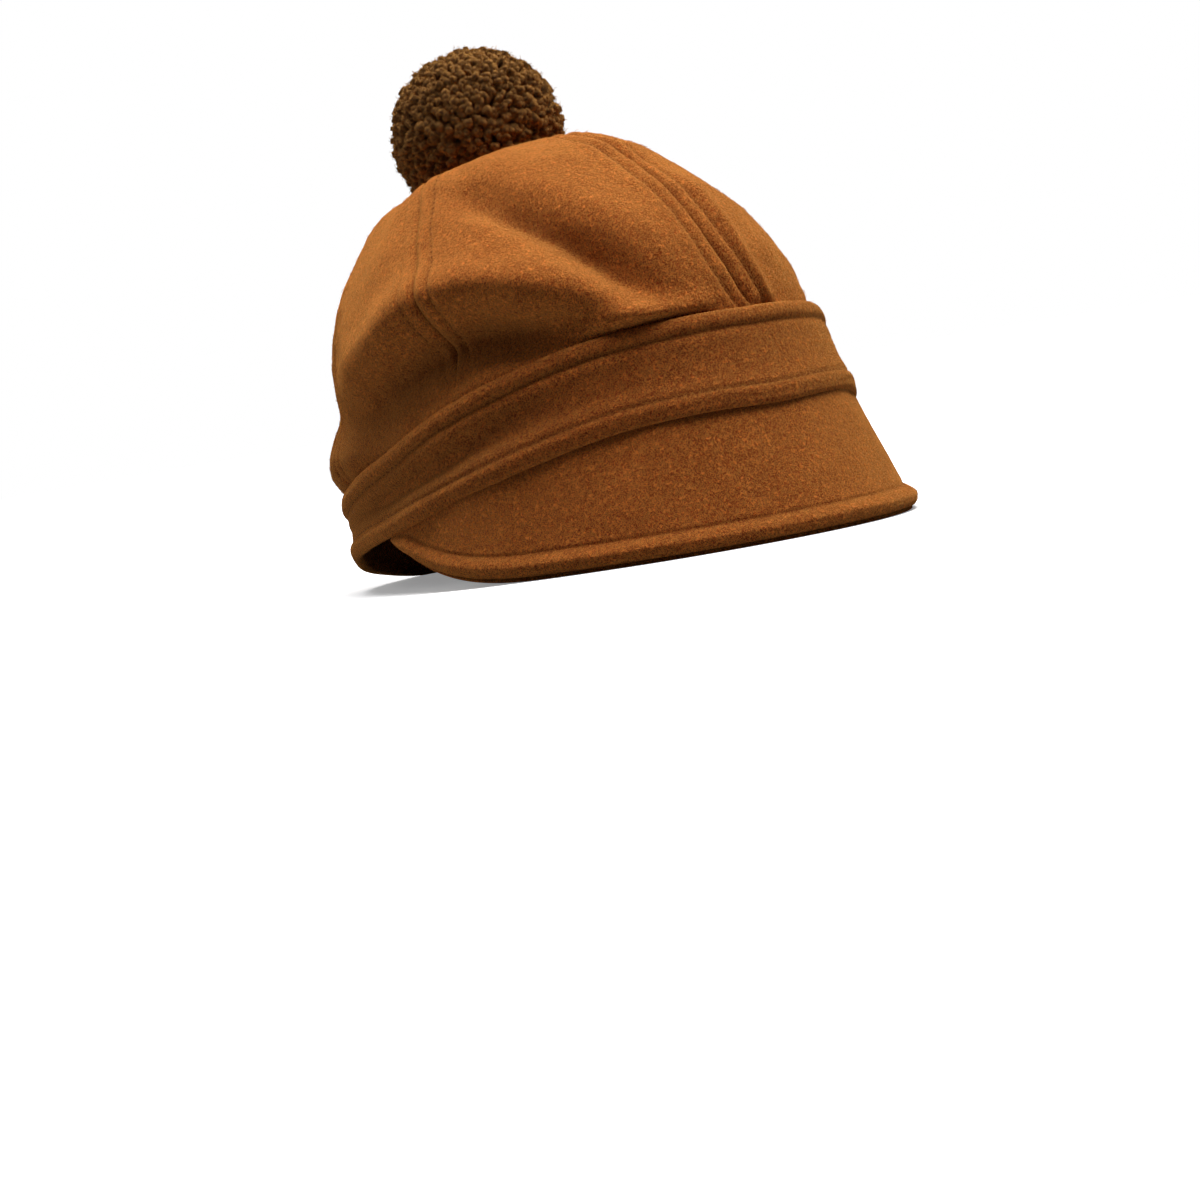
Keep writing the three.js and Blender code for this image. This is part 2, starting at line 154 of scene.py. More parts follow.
# %% The light
CAP_MIDDLE = Vector((0, 0, 0.09))
STUDIO_GLOW = 0.03
SOFTBOXES = [  # name, place, side and power
    ("softbox overhead", (0.20, -0.35, 1.45), 0.8, 35),
    ("softbox overhead, further back", (0.05, 0.55, 1.35), 0.9, 19),
    ("softbox behind on the left", (-0.80, 1.15, 0.75), 0.8, 5),
]


def soft_light(name, place, side, power):
    """A square softbox that looks at the middle of the cap."""
    data = bpy.data.lights.new(name, "AREA")
    data.shape = "SQUARE"
    data.size = side
    data.energy = power
    light = bpy.data.objects.new(name, data)
    bpy.context.collection.objects.link(light)
    light.location = place
    light.rotation_mode = "QUATERNION"
    light.rotation_quaternion = (CAP_MIDDLE - Vector(place)).to_track_quat("-Z", "Y")


for name, place, side, power in SOFTBOXES:
    soft_light(name, place, side, power)

world = bpy.data.worlds.new("studio")
bpy.context.scene.world = world
world.use_nodes = True
glow = world.node_tree.nodes["Background"]
glow.inputs["Color"].default_value = (1, 1, 1, 1)
glow.inputs["Strength"].default_value = STUDIO_GLOW
backdrop = world.node_tree.nodes.new("ShaderNodeBackground")
backdrop.inputs["Color"].default_value = (1, 1, 1, 1)
seen = world.node_tree.nodes.new("ShaderNodeLightPath")
either = world.node_tree.nodes.new("ShaderNodeMixShader")
sky = world.node_tree.nodes["World Output"]
world.node_tree.links.new(seen.outputs["Is Camera Ray"], either.inputs["Fac"])
world.node_tree.links.new(glow.outputs["Background"], either.inputs[1])
world.node_tree.links.new(backdrop.outputs["Background"], either.inputs[2])
world.node_tree.links.new(either.outputs["Shader"], sky.inputs["Surface"])
bpy.context.scene.view_settings.view_transform = "Standard"
print("Lights:", len(SOFTBOXES))

# %% [markdown]
# ## Turning numbers into meshes
#
# All cloth here is a grid of points over a matching grid of points, so one helper can turn any such
# pair into a closed sheet with two faces and edges. Writing the points with numpy keeps thousands of
# them quick. Each piece then rides on the one body of the cap and names the solid that it replaces.

# %% Helpers for meshes
MM = 0.001
ROOT = "root"


def grid_faces(rows, columns, rows_meet=False, columns_meet=False):
    """Faces of a grid of points, whose last row or column may meet the first."""
    number = np.arange(rows * columns).reshape(rows, columns)
    if rows_meet:
        number = np.vstack([number, number[:1]])
    if columns_meet:
        number = np.hstack([number, number[:, :1]])
    corners = [number[:-1, :-1], number[1:, :-1], number[1:, 1:], number[:-1, 1:]]
    return np.stack(corners, -1).reshape(-1, 4)


def sheet_faces(rows, columns):
    """Faces of a sheet with edges: the outer grid's points come first, then the inner grid's."""
    number = np.arange(rows * columns).reshape(rows, columns)
    inner = number + rows * columns
    quads = [
        np.stack([number[:-1, :-1], number[1:, :-1], number[1:, 1:], number[:-1, 1:]], -1),
        np.stack([inner[:-1, :-1], inner[:-1, 1:], inner[1:, 1:], inner[1:, :-1]], -1),
        np.stack([number[:-1, 0], inner[:-1, 0], inner[1:, 0], number[1:, 0]], -1),
        np.stack([number[:-1, -1], number[1:, -1], inner[1:, -1], inner[:-1, -1]], -1),
        np.stack([number[0, :-1], number[0, 1:], inner[0, 1:], inner[0, :-1]], -1),
        np.stack([number[-1, :-1], inner[-1, :-1], inner[-1, 1:], number[-1, 1:]], -1),
    ]
    return np.concatenate([q.reshape(-1, 4) for q in quads])


def make_piece(name, points, faces, material, nodes=(), marks=None):
    """Makes a mesh in metres from points in metres. marks holds one number a point, by name."""
    data = bpy.data.meshes.new(name)
    data.from_pydata(points.reshape(-1, 3).tolist(), [], list(faces))
    data.polygons.foreach_set("use_smooth", [True] * len(data.polygons))
    for mark, values in (marks or {}).items():
        attribute = data.attributes.new(mark, "FLOAT", "POINT")
        attribute.data.foreach_set("value", np.asarray(values, float).ravel())
    data.materials.append(material)
    data.update()
    piece = bpy.data.objects.new(name, data)
    bpy.context.collection.objects.link(piece)
    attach(piece, ROOT)
    if nodes:
        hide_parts(*nodes)
    print(name, "has", len(data.polygons), "faces")
    return piece


def unit(vectors):
    """The same directions, each one long."""
    return vectors / np.linalg.norm(vectors, axis=-1, keepdims=True)


def tubes(centres, side, front, radii, outline):
    """Points and faces of many tubes.

    centres is tube by ring by 3, side and front lie across the tubes, and outline goes round
    each ring.
    """
    count, rings, _ = centres.shape
    sides = outline.shape[-1]
    turn = np.linspace(0, 2 * math.pi, sides, endpoint=False)
    reach = (radii[..., None] * outline)[..., None]
    points = (centres[:, :, None, :]
              + reach * np.cos(turn)[None, None, :, None] * side[:, :, None, :]
              + reach * np.sin(turn)[None, None, :, None] * front[:, :, None, :])
    number = np.arange(count * rings * sides).reshape(count, rings, sides)
    ring = np.concatenate([number, number[:, :, :1]], 2)
    quads = np.stack([ring[:, :-1, :-1], ring[:, :-1, 1:], ring[:, 1:, 1:], ring[:, 1:, :-1]], -1)
    caps = [number[:, 0, ::-1].reshape(count, -1), number[:, -1, :].reshape(count, -1)]
    return points, quads.reshape(-1, 4).tolist() + np.concatenate(caps).tolist()


def cross_pair(directions):
    """Two directions across each given one."""
    helper = np.where(np.abs(directions[..., 2:3]) < 0.9, [[0.0, 0, 1.0]], [[1.0, 0, 0.0]])
    side = unit(np.cross(directions, helper))
    return side, np.cross(directions, side)


print("Helpers ready")

# %% [markdown]
# ## Standing the cap on the table
#
# The cap is measured in the plane of its band and then tipped up in front, because it stands on the
# peak's edge and on the back rim. Every shape below is worked out in millimetres in the band's own
# frame, and stand() carries it to the table.

# %% Standing the cap on the table
HALF_WIDTH = 83.9
HALF_LENGTH = 100.9
BAND_LEAN = math.tan(math.radians(6.4))
REST_TILT = math.radians(12.9)
REST_PRESS = 0.8
ORIGIN_SHIFT = np.array([0, 6.4, 0])
BAND_TOP = {
    "angle": [0, 20, 42, 60, 75, 90, 110, 180],
    "height": [31.4, 32.4, 33.6, 32.3, 30.4, 27.0, 25.2, 25.2],
}
BAND_LOW = {  # the first and last entry only keep the curve level in front and behind
    "angle": [-20, 0, 20, 38, 55, 75, 95, 112, 128, 152, 180, 208],
    "height": [-0.3, -2.2, -0.3, 1.3, 0.7, -0.4, -0.6, 1.0, 2.0, 0.8, -1.0, 0.8],
}


def through(xs, ys, x):
    """A smooth curve through a short table."""
    xs = np.asarray(xs, float)
    ys = np.asarray(ys, float)
    x = np.clip(np.asarray(x, float), xs[0], xs[-1])
    gaps = np.diff(xs)
    rates = np.diff(ys) / gaps
    inside = (gaps[:-1] * rates[1:] + gaps[1:] * rates[:-1]) / (gaps[:-1] + gaps[1:])
    slopes = np.concatenate([rates[:1], inside, rates[-1:]])
    i = np.clip(np.searchsorted(xs, x, side="right") - 1, 0, len(xs) - 2)
    t = (x - xs[i]) / gaps[i]
    start = (2 * t**3 - 3 * t**2 + 1) * ys[i] + (t**3 - 2 * t**2 + t) * gaps[i] * slopes[i]
    return start + (3 * t**2 - 2 * t**3) * ys[i + 1] + (t**3 - t**2) * gaps[i] * slopes[i + 1]


def smoothstep(value, start, end):
    """0 at the start and 1 at the end, level at both."""
    share = np.clip((value - start) / (end - start), 0, 1)
    return share * share * (3 - 2 * share)


def band_top(angle):
    """Height of the band's upper edge."""
    return through(BAND_TOP["angle"], BAND_TOP["height"], np.abs(angle))


def band_low(angle):
    """Height of the band's lower edge."""
    return through(BAND_LOW["angle"], BAND_LOW["height"], np.abs(angle))


REST_LIFT = (
    HALF_LENGTH * math.sin(REST_TILT) - float(band_low(180)) * math.cos(REST_TILT) - REST_PRESS
)


def stand(points):
    """From millimetres in the band's frame to metres on the table."""
    y = points[..., 1] * math.cos(REST_TILT) + points[..., 2] * math.sin(REST_TILT)
    z = -points[..., 1] * math.sin(REST_TILT) + points[..., 2] * math.cos(REST_TILT) + REST_LIFT
    return (np.stack([points[..., 0], y, np.maximum(z, 0)], -1) + ORIGIN_SHIFT) * MM


def ripple(points, length, height, seed):
    """Soft unevenness of cloth: a sum of slow waves in random directions, in millimetres."""
    chance = np.random.default_rng(seed)
    total = np.zeros(points.shape[:-1])
    waves = 14
    for _ in range(waves):
        direction = chance.normal(size=3)
        direction *= 2 * math.pi / (length * chance.uniform(0.7, 1.6) * np.linalg.norm(direction))
        total += np.sin(points @ direction + chance.uniform(0, 2 * math.pi))
    return total * height / math.sqrt(waves / 2)


print("The band's plane is tipped", round(math.degrees(REST_TILT), 1), "degrees")

# %% [markdown]
# ## Small helpers for shader nodes
#
# A material drawn as nodes is easy to look at and slow to write down, since every node needs several
# lines. A few helpers that each make one node, set it and hand back its output let the materials
# below be read like sums.

# %% Helpers for shader nodes
def new_group(name, inputs, outputs):
    """A shader node group with its sockets, and its two end nodes."""
    group = bpy.data.node_groups.new(name, "ShaderNodeTree")
    for socket, kind, value in inputs:
        made = group.interface.new_socket(name=socket, in_out="INPUT", socket_type=kind)
        made.default_value = value
    for socket, kind in outputs:
        group.interface.new_socket(name=socket, in_out="OUTPUT", socket_type=kind)
    return group, group.nodes.new("NodeGroupInput"), group.nodes.new("NodeGroupOutput")


def math_node(tree, operation, first, second=None):
    """A Math node whose inputs are numbers or sockets."""
    node = tree.nodes.new("ShaderNodeMath")
    node.operation = operation
    for socket, value in zip(node.inputs, (first, second)):
        if value is None:
            continue
        if isinstance(value, (int, float)):
            socket.default_value = value
        else:
            tree.links.new(value, socket)
    return node.outputs["Value"]


def product(tree, first, second):
    """One number or socket times another."""
    return math_node(tree, "MULTIPLY", first, second)


def mix_colours(tree, share, first, second):
    """A colour between two others."""
    node = tree.nodes.new("ShaderNodeMix")
    node.data_type = "RGBA"
    for number, value in ((0, share), (6, first), (7, second)):
        socket = node.inputs[number]
        if isinstance(value, bpy.types.NodeSocket):
            tree.links.new(value, socket)
        else:
            socket.default_value = value
    return node.outputs[2]


def noise(tree, place, scale, detail=2.0, roughness=0.5, distortion=0.0):
    """Soft noise between 0 and 1 at a place in the cloth."""
    node = tree.nodes.new("ShaderNodeTexNoise")
    tree.links.new(place, node.inputs["Vector"])
    if isinstance(scale, (int, float)):
        node.inputs["Scale"].default_value = scale
    else:
        tree.links.new(scale, node.inputs["Scale"])
    node.inputs["Detail"].default_value = detail
    node.inputs["Roughness"].default_value = roughness
    node.inputs["Distortion"].default_value = distortion
    return node.outputs["Fac"]


def window(tree, value, low, high):
    """0 below low and 1 above high, or the other way round if low is above high."""
    node = tree.nodes.new("ShaderNodeMapRange")
    node.interpolation_type = "SMOOTHSTEP"
    tree.links.new(value, node.inputs["Value"])
    node.inputs["From Min"].default_value = low
    node.inputs["From Max"].default_value = high
    return node.outputs["Result"]


def fibre_lines(tree, place, scale, width, shift):
    """Winding lines, drawn where smooth noise passes its middle value."""
    moved = tree.nodes.new("ShaderNodeVectorMath")
    moved.operation = "ADD"
    tree.links.new(place, moved.inputs[0])
    moved.inputs[1].default_value = shift
    value = noise(tree, moved.outputs["Vector"], scale, detail=1.5, roughness=0.6, distortion=1.2)
    from_middle = math_node(tree, "ABSOLUTE", math_node(tree, "SUBTRACT", value, 0.5))
    return window(tree, from_middle, width, 0.0)


print("Shader helpers ready")

# %% [markdown]
# ## Felted wool as a node group
#
# Felted wool has no weave to see. What shows is a web of short light fibres over darker gaps, soft
# patches where the nap lies another way, and cloth that is pressed flat along each seam. One input
# darkens that pressed cloth and also paints shade into grooves, hollows and crevices. All three
# cloths of the cap share this, so it is one node group with named inputs. Thin curved fibres are
# made from smooth noise: where the noise passes its middle value it draws a winding line, and a
# narrow window round that value keeps only the line.

# %% The felt group
LINE_WIDTHS = (0.032, 0.040)
GAP_WINDOW = (0.52, 0.38)
TUFT_WINDOW = (0.55, 0.67)
PATCH_SCALES = (95.0, 22.0)
PATCH_WINDOW = (0.35, 0.65)
# The pressed mark hides the fibres and darkens the cloth, for pressed nap and as painted shade.
PRESSED_AND_SHADE_HIDES = 0.6
PRESSED_AND_SHADE_DARKENS = 0.55
WOOL_HEIGHTS = {"depth": 0.8, "lines": 0.35, "patches": 0.8}


def build_felt():
    """Fibres, gaps and patches of felted wool, in metres on the cloth."""
    group, inputs, outputs = new_group(
        "felted wool",
        [
            ("Fibre Scale", "NodeSocketFloat", 660.0),
            ("Cloth", "NodeSocketColor", (0.4, 0.15, 0.03, 1)),
            ("Fibre", "NodeSocketColor", (0.6, 0.3, 0.1, 1)),
            ("Gap", "NodeSocketColor", (0.2, 0.07, 0.01, 1)),
            ("Fibre Amount", "NodeSocketFloat", 0.5),
            ("Gap Amount", "NodeSocketFloat", 0.5),
            ("Tuft Amount", "NodeSocketFloat", 0.5),
            ("Patch Amount", "NodeSocketFloat", 0.2),
            ("Pressed Nap And Shade", "NodeSocketFloat", 0.0),
        ],
        [("Colour", "NodeSocketColor"), ("Height", "NodeSocketFloat")],
    )
    given = inputs.outputs
    place = group.nodes.new("ShaderNodeTexCoord").outputs["Object"]
    fine = product(group, given["Fibre Scale"], 1.9)
    coarse = product(group, given["Fibre Scale"], 1.25)
    lines = math_node(
        group, "MAXIMUM",
        fibre_lines(group, place, given["Fibre Scale"], LINE_WIDTHS[0], (0, 0, 0)),
        fibre_lines(group, place, fine, LINE_WIDTHS[1], (0.31, 0.17, 0.53)),
    )
    depth = noise(group, place, coarse, detail=3.0, roughness=0.65, distortion=0.6)
    gaps = window(group, depth, *GAP_WINDOW)
    tufts = window(group, depth, *TUFT_WINDOW)
    patches = noise(group, place, PATCH_SCALES[0], detail=3.0, roughness=0.6)
    broad = noise(group, place, PATCH_SCALES[1], detail=2.0, roughness=0.5)
    patch = math_node(group, "ADD", product(group, patches, 0.6), product(group, broad, 0.4))
    patch_share = product(group, window(group, patch, *PATCH_WINDOW), given["Patch Amount"])
    hidden = product(group, given["Pressed Nap And Shade"], PRESSED_AND_SHADE_HIDES)
    standing = math_node(group, "SUBTRACT", 1.0, hidden)
    fibre_share = product(group, product(group, lines, given["Fibre Amount"]), standing)
    tuft_share = product(group, product(group, tufts, given["Tuft Amount"]), standing)
    gap_share = product(group, gaps, given["Gap Amount"])
    # Darkening by the pressed mark: pressed nap, and painted shade in grooves, hollows and crevices.
    pressed_share = product(group, given["Pressed Nap And Shade"], PRESSED_AND_SHADE_DARKENS)
    colour = mix_colours(group, patch_share, given["Cloth"], given["Fibre"])
    colour = mix_colours(group, gap_share, colour, given["Gap"])
    colour = mix_colours(group, tuft_share, colour, given["Fibre"])
    colour = mix_colours(group, fibre_share, colour, given["Fibre"])
    colour = mix_colours(group, pressed_share, colour, given["Gap"])
    height = math_node(group, "ADD", product(group, depth, WOOL_HEIGHTS["depth"]),
                       product(group, lines, WOOL_HEIGHTS["lines"]))
    height = math_node(group, "ADD", height, product(group, patches, WOOL_HEIGHTS["patches"]))
    group.links.new(colour, outputs.inputs["Colour"])
    group.links.new(height, outputs.inputs["Height"])
    return group


felt = build_felt()
print("The felt group has", len(felt.nodes), "nodes")

# %% [markdown]
# ## Three cloths from one group
#
# The panels, the band and the peak are cut from the same wool. Each gets a material of its own with
# the group inside; the band's is a darker copy, as painted shade, and the peak's is a little darker
# than the crown's. Wool scatters light at its fibre tips, which makes it paler towards its outline,
# and the shader's sheen does that.

# %% Wool materials
def wool_material(name, cloth, fibre, gap, fibre_amount=1.0, gap_amount=0.3, tuft_amount=0.95,
                  patch_amount=0.12, bump=0.0010):
    """Felted wool with a soft sheen. A mark darkens stitch lines and seams, and paints shade into
    hollows and crevices.
    """
    material = bpy.data.materials.new(name)
    material.use_nodes = True
    tree = material.node_tree
    shader = tree.nodes["Principled BSDF"]
    wool = tree.nodes.new("ShaderNodeGroup")
    wool.node_tree = felt
    wool.inputs["Cloth"].default_value = (*cloth, 1)
    wool.inputs["Fibre"].default_value = (*fibre, 1)
    wool.inputs["Gap"].default_value = (*gap, 1)
    wool.inputs["Fibre Amount"].default_value = fibre_amount
    wool.inputs["Gap Amount"].default_value = gap_amount
    wool.inputs["Tuft Amount"].default_value = tuft_amount
    wool.inputs["Patch Amount"].default_value = patch_amount
    # The mark darkens held-down cloth and also carries painted shade.
    pressed = tree.nodes.new("ShaderNodeAttribute")
    pressed.attribute_name = "pressed"
    relief = tree.nodes.new("ShaderNodeBump")
    relief.inputs["Strength"].default_value = 1.0
    relief.inputs["Distance"].default_value = bump
    tree.links.new(pressed.outputs["Fac"], wool.inputs["Pressed Nap And Shade"])
    tree.links.new(wool.outputs["Colour"], shader.inputs["Base Color"])
    tree.links.new(wool.outputs["Height"], relief.inputs["Height"])
    tree.links.new(relief.outputs["Normal"], shader.inputs["Normal"])
    shader.inputs["Roughness"].default_value = 0.95
    shader.inputs["Specular IOR Level"].default_value = 0.05
    shader.inputs["Sheen Weight"].default_value = 1.0
    shader.inputs["Sheen Roughness"].default_value = 0.4
    shader.inputs["Sheen Tint"].default_value = (1.0, 0.44, 0.10, 1)
    return material


crown_wool = wool_material(
    "crown wool", cloth=(0.188, 0.029, 0.003), fibre=(0.80, 0.222, 0.042),
    gap=(0.080, 0.009, 0.001),
)
# Painted shade: the band's wool is darker than the crown's.
shaded_band_wool = wool_material(
    "band wool with painted shade", cloth=(0.134, 0.018, 0.002), fibre=(0.61, 0.150, 0.026),
    gap=(0.060, 0.006, 0.001),
)
peak_wool = wool_material(
    "peak wool", cloth=(0.178, 0.027, 0.003), fibre=(0.73, 0.197, 0.037),
    gap=(0.080, 0.009, 0.001),
)
print("Wools:", crown_wool.name, shaded_band_wool.name, peak_wool.name)

# %% [markdown]
# ## The crown's form
#
# Six panels are sewn to a dome that is higher and fuller behind than in front, and the cloth has
# slumped into folds on the wearer's right. A sculpted dome would do, but a short table of rings keeps
# the form easy to change: each ring gives a height, how far it reaches to each side, and where its
# middle is. Each fold is a line on that form with a rise or a sinking that fades to both sides.

# %% The crown's form
BAND_TOP_MEAN = 34
CLOTH = 2.4
CROWN_COLUMNS = (
    "up", "height", "follow", "right", "left", "front", "back", "centre_x", "centre_y", "lean",
)
CROWN_ROWS = [
    [0.00, 25.0, 1.0, 76.9, 76.9, 93.9, 93.9, 0, 0, 0],
    [0.06, 34.3, 1.0, 77.8, 76.9, 94.9, 94.4, 0, 0, 0],
    [0.11, 40.0, 0.95, 77.8, 76.4, 95.2, 96.0, 0, 0, 0],
    [0.19, 50.0, 0.6, 78.6, 73.8, 94.2, 95.5, 0, 0, 0],
    [0.28, 61.0, 0.3, 76.8, 69.8, 90.6, 91.5, 0, 0, 0],
    [0.36, 71.0, 0.1, 73.8, 65.9, 85.5, 87.0, 0, 0, 0],
    [0.44, 80.0, 0, 69.6, 61.4, 78.9, 82.0, 0, 0.5, 0],
    [0.52, 89.0, 0, 64.0, 55.5, 71.0, 76.4, 0.2, 1.5, 0],
    [0.60, 97.0, 0, 58.0, 49.4, 63.0, 70.2, 0.6, 3, 0],
    [0.68, 104.5, 0, 52.4, 44.4, 54.4, 64.2, 1.4, 4.5, 0.5],
    [0.76, 110.2, 0, 47.4, 39.2, 43.8, 59.4, 2.6, 6.5, 1.5],
    [0.83, 114.3, 0, 40.6, 33.2, 31.6, 53.0, 4, 9, 2.2],
    [0.90, 114.4, 0, 27.6, 25.0, 17.0, 39.5, 5.2, 12, 1.5],
    [0.95, 109.2, 0, 14.5, 14.5, 1.0, 29.0, 6, 14.5, 0],
    [1.00, 106.3, 0, 2.2, 2.2, -12.8, 17.2, 6.2, 15, 0],
]
CROWN = dict(zip(CROWN_COLUMNS, np.array(CROWN_ROWS).T))


def crown_form(angle, up):
    """Points of the crown before its folds. 0 degrees is the front, 90 the wearer's right."""
    ring = {name: through(CROWN["up"], CROWN[name], up) for name in CROWN_COLUMNS[1:]}
    turn = np.radians(angle)
    across = np.where(np.sin(turn) > 0, ring["right"], ring["left"])
    before = ring["front"] + ring["centre_y"]
    behind = ring["back"] - ring["centre_y"]
    along = np.where(np.cos(turn) > 0, before, behind)
    height = ring["height"] + ring["follow"] * (band_top(angle) - BAND_TOP_MEAN)
    return np.stack([
        ring["centre_x"] - across * np.sin(turn),
        ring["centre_y"] - along * np.cos(turn),
        height + ring["lean"] * np.cos(turn),
    ], -1)


def crown_normal(angle, up):
    """Directions straight out of the crown's form."""
    step = 0.004
    around = crown_form(angle + 1, up) - crown_form(angle - 1, up)
    rise = crown_form(angle, np.minimum(up + step, 1)) - crown_form(angle, np.maximum(up - step, 0))
    return unit(np.cross(rise, around))


print("The crown's form has", len(CROWN_ROWS), "rings")

# %% [markdown]
# ## The folds
#
# Thick wool slumps in a few large folds and not in many small ones. A cloth simulation would find
# folds of its own, so each one is drawn as a line over the form instead: a ledge, the crease and
# the bulge above it, and the hollow below. The lift fades like a bell to both sides of the line,
# and the two sides may be of different widths, which makes a fold lean.

# %% The folds
# Each station is an angle, a way up from 0 at the band to 1 at the top, and a rise in millimetres
FOLDS = [
    {"name": "slanting ledge on the wearer's right", "below": 10, "above": 11,
     "stations": [[118, 0.22, 0], [111, 0.235, 1.5], [100, 0.26, 3], [91, 0.29, 4.5], [81, 0.315, 6],
                  [70, 0.33, 7], [56, 0.29, 8], [45, 0.225, 8], [36, 0.15, 7.5], [29, 0.105, 6.5],
                  [22, 0.08, 5.5], [16, 0.065, 3.5], [8, 0.055, 0]]},
    {"name": "crease above the ledge", "below": 7, "above": 10,
     "stations": [[68, 0.74, 0], [58, 0.65, -3], [48, 0.55, -6], [38, 0.42, -8], [31, 0.3, -8.5],
                  [26, 0.2, -7.5], [21, 0.145, -5.5], [16, 0.11, -2.5], [11, 0.09, 0]]},
    {"name": "bulge over the crease", "below": 8, "above": 15,
     "stations": [[60, 0.8, 0], [50, 0.7, 1.5], [40, 0.57, 3], [32, 0.44, 4], [25, 0.31, 4.5],
                  [19, 0.2, 3.5], [13, 0.12, 0]]},
    {"name": "hollow under the ledge", "below": 11, "above": 8,
     "stations": [[175, 0.24, 0], [150, 0.24, -1], [128, 0.23, -2.2], [113, 0.205, -4.5],
                  [94, 0.195, -8.5], [82, 0.2, -10], [71, 0.2, -11], [61, 0.19, -10.5],
                  [51, 0.148, -8.5], [41, 0.11, -6], [34, 0.085, -3.5], [27, 0.07, 0]]},
    {"name": "roll over the band", "below": 8, "above": 10,
     "stations": [[178, 0.12, 1.5], [150, 0.13, 3.5], [128, 0.135, 4.6], [108, 0.125, 3],
                  [94, 0.115, 0.5], [86, 0.105, 0]]},
    {"name": "dent behind the right seam", "below": 14, "above": 18,
     "stations": [[165, 0.3, 0], [140, 0.29, -1.5], [120, 0.3, -1.5], [100, 0.34, 0]]},
    {"name": "foot resting on the band's edge", "below": 5, "above": 4,
     "stations": [[72, 0.085, 0], [60, 0.085, 1.6], [45, 0.085, 2.4], [32, 0.085, 2.6],
                  [22, 0.085, 2.4], [13, 0.085, 1.4], [4, 0.085, 0]]},
    {"name": "soft ridge beside the front seam", "below": 3.6, "above": 3.6,
     "stations": [[-10, 0.5, 0], [-9, 0.4, 2], [-8, 0.33, 2.4], [-7, 0.24, 2.4],
                  [-7.5, 0.17, 2.4], [-9, 0.11, 2.2], [-10, 0.07, 1.5]]},
]
FOLD_START = (0.06, 0.08)
STEPS_BETWEEN_STATIONS = 12


def fold_line(fold):
    """Closely spaced points of a fold's line, and their rise."""
    stations = np.array(fold["stations"], float)
    places = np.arange(len(stations))
    fine = np.linspace(0, len(stations) - 1, (len(stations) - 1) * STEPS_BETWEEN_STATIONS + 1)
    angle, up, rise = (through(places, stations[:, k], fine) for k in range(3))
    return crown_form(angle, up), rise


fold_lines = [fold_line(fold) for fold in FOLDS]


def fold_rise(points, up):
    """How far the folds lift the cloth at each point."""
    total = np.zeros(points.shape[:-1])
    flat = points.reshape(-1, 3)
    for fold, (line, rise) in zip(FOLDS, fold_lines):
        away = ((flat[:, None, :] - line[None, :, :]) ** 2).sum(-1)
        nearest = away.argmin(1)
        spread = np.where(flat[:, 2] > line[nearest, 2], fold["above"], fold["below"])
        lift = rise[nearest] * np.exp(-away[np.arange(len(flat)), nearest] / spread**2)
        total += lift.reshape(total.shape)
    return total * smoothstep(up, *FOLD_START)


print("Folds:", ", ".join(fold["name"] for fold in FOLDS))

# %% [markdown]
# ## Six panels with felled seams
#
# Each seam is sewn, pressed open and stitched down on both sides, which leaves a narrow valley in the
# middle, a padded ridge on each side and a sunken stitch line beside each ridge. A bump map would
# vanish at the outline, so the relief is real: the grid's columns lie close together near a seam.
# A mark tells the material where the nap is held down and darkens the cloth there, which also
# paints the shade that falls into the seam's valley and onto its stitch lines.

# %% Seams
PANELS = [
    ("crown_back_left", -180, -120),
    ("crown_side_left", -120, -69),
    ("crown_front_left", -69, 0),
    ("crown_front_right", 0, 69),
    ("crown_side_right", 69, 120),
    ("crown_back_right", 120, 180),
]
SEAM_STRENGTH = {-180: 0.8, -120: 0.8, -69: 0.8, 0: 1.0, 69: 0.6, 120: 0.7, 180: 0.8}
SEAM_DRIFT = {  # how many degrees a seam strays from its line, by the way up
    0: ([0, 0.06, 0.12, 0.2, 0.45, 0.6, 0.75, 1], [-4, -4, -2, 0, 0, -2, 0, 0]),
    69: ([0, 0.13, 0.2, 0.27, 0.38, 0.5, 0.62, 0.76, 1], [1.5, 1.5, 2.6, 2, 2, 3.5, 4.5, 5, 0]),
}
SEAM_SHOWN = {  # the folded cloth hides a seam's foot, and its nap softens the rest
    69: ([0, 0.12, 0.165, 0.21, 0.27, 0.4, 0.6, 1], [0, 0, 0.9, 2.2, 2.0, 0.9, 0.8, 0.5]),
}
SEAM_REAR_SIDE = {69: 0.35}  # on its far side a seam may show less
SEAM_RIDGES = [  # distance from the seam, half width and height of each ridge or valley
    {"distance": 0.0, "half": 1.1, "height": -1.2},
    {"distance": 3.2, "half": 1.8, "height": 0.55},
    {"distance": 6.2, "half": 1.0, "height": -0.65},
    {"distance": 9.2, "half": 2.0, "height": 0.3},
]
STITCH_FROM_SEAM = 6.2
SEAM_FREE_WIDTH = 40
SEAM_SLIT = 0.02
INNER_RELIEF = 0.3
# Painted shade: the cloth is darkened where a fold sinks in.
HOLLOW_PAINTED_SHADE = 0.95
# Painted shade: a patch under the ledge is darkened.
LEDGE_PAINTED_SHADE = {"angle": 112, "spread": 34, "up": 0.14, "reach": 0.09, "amount": 0.85}
STITCH_LINE_HALF = 0.8
SEAM_REACH = 12.0
SEAM_COLUMNS = 21
MIDDLE_SPACING = 1.6
ROW_SPACING = 1.4


def even_ups():
    """Ways up whose rings lie evenly spaced over the crown's front."""
    fine = np.linspace(0, 1, 800)
    line = crown_form(np.full_like(fine, 40.0), fine)
    walked = np.concatenate([[0], np.cumsum(np.linalg.norm(np.diff(line, axis=0), axis=1))])
    count = int(walked[-1] / ROW_SPACING)
    return np.interp(np.linspace(0, walked[-1], count), walked, fine)


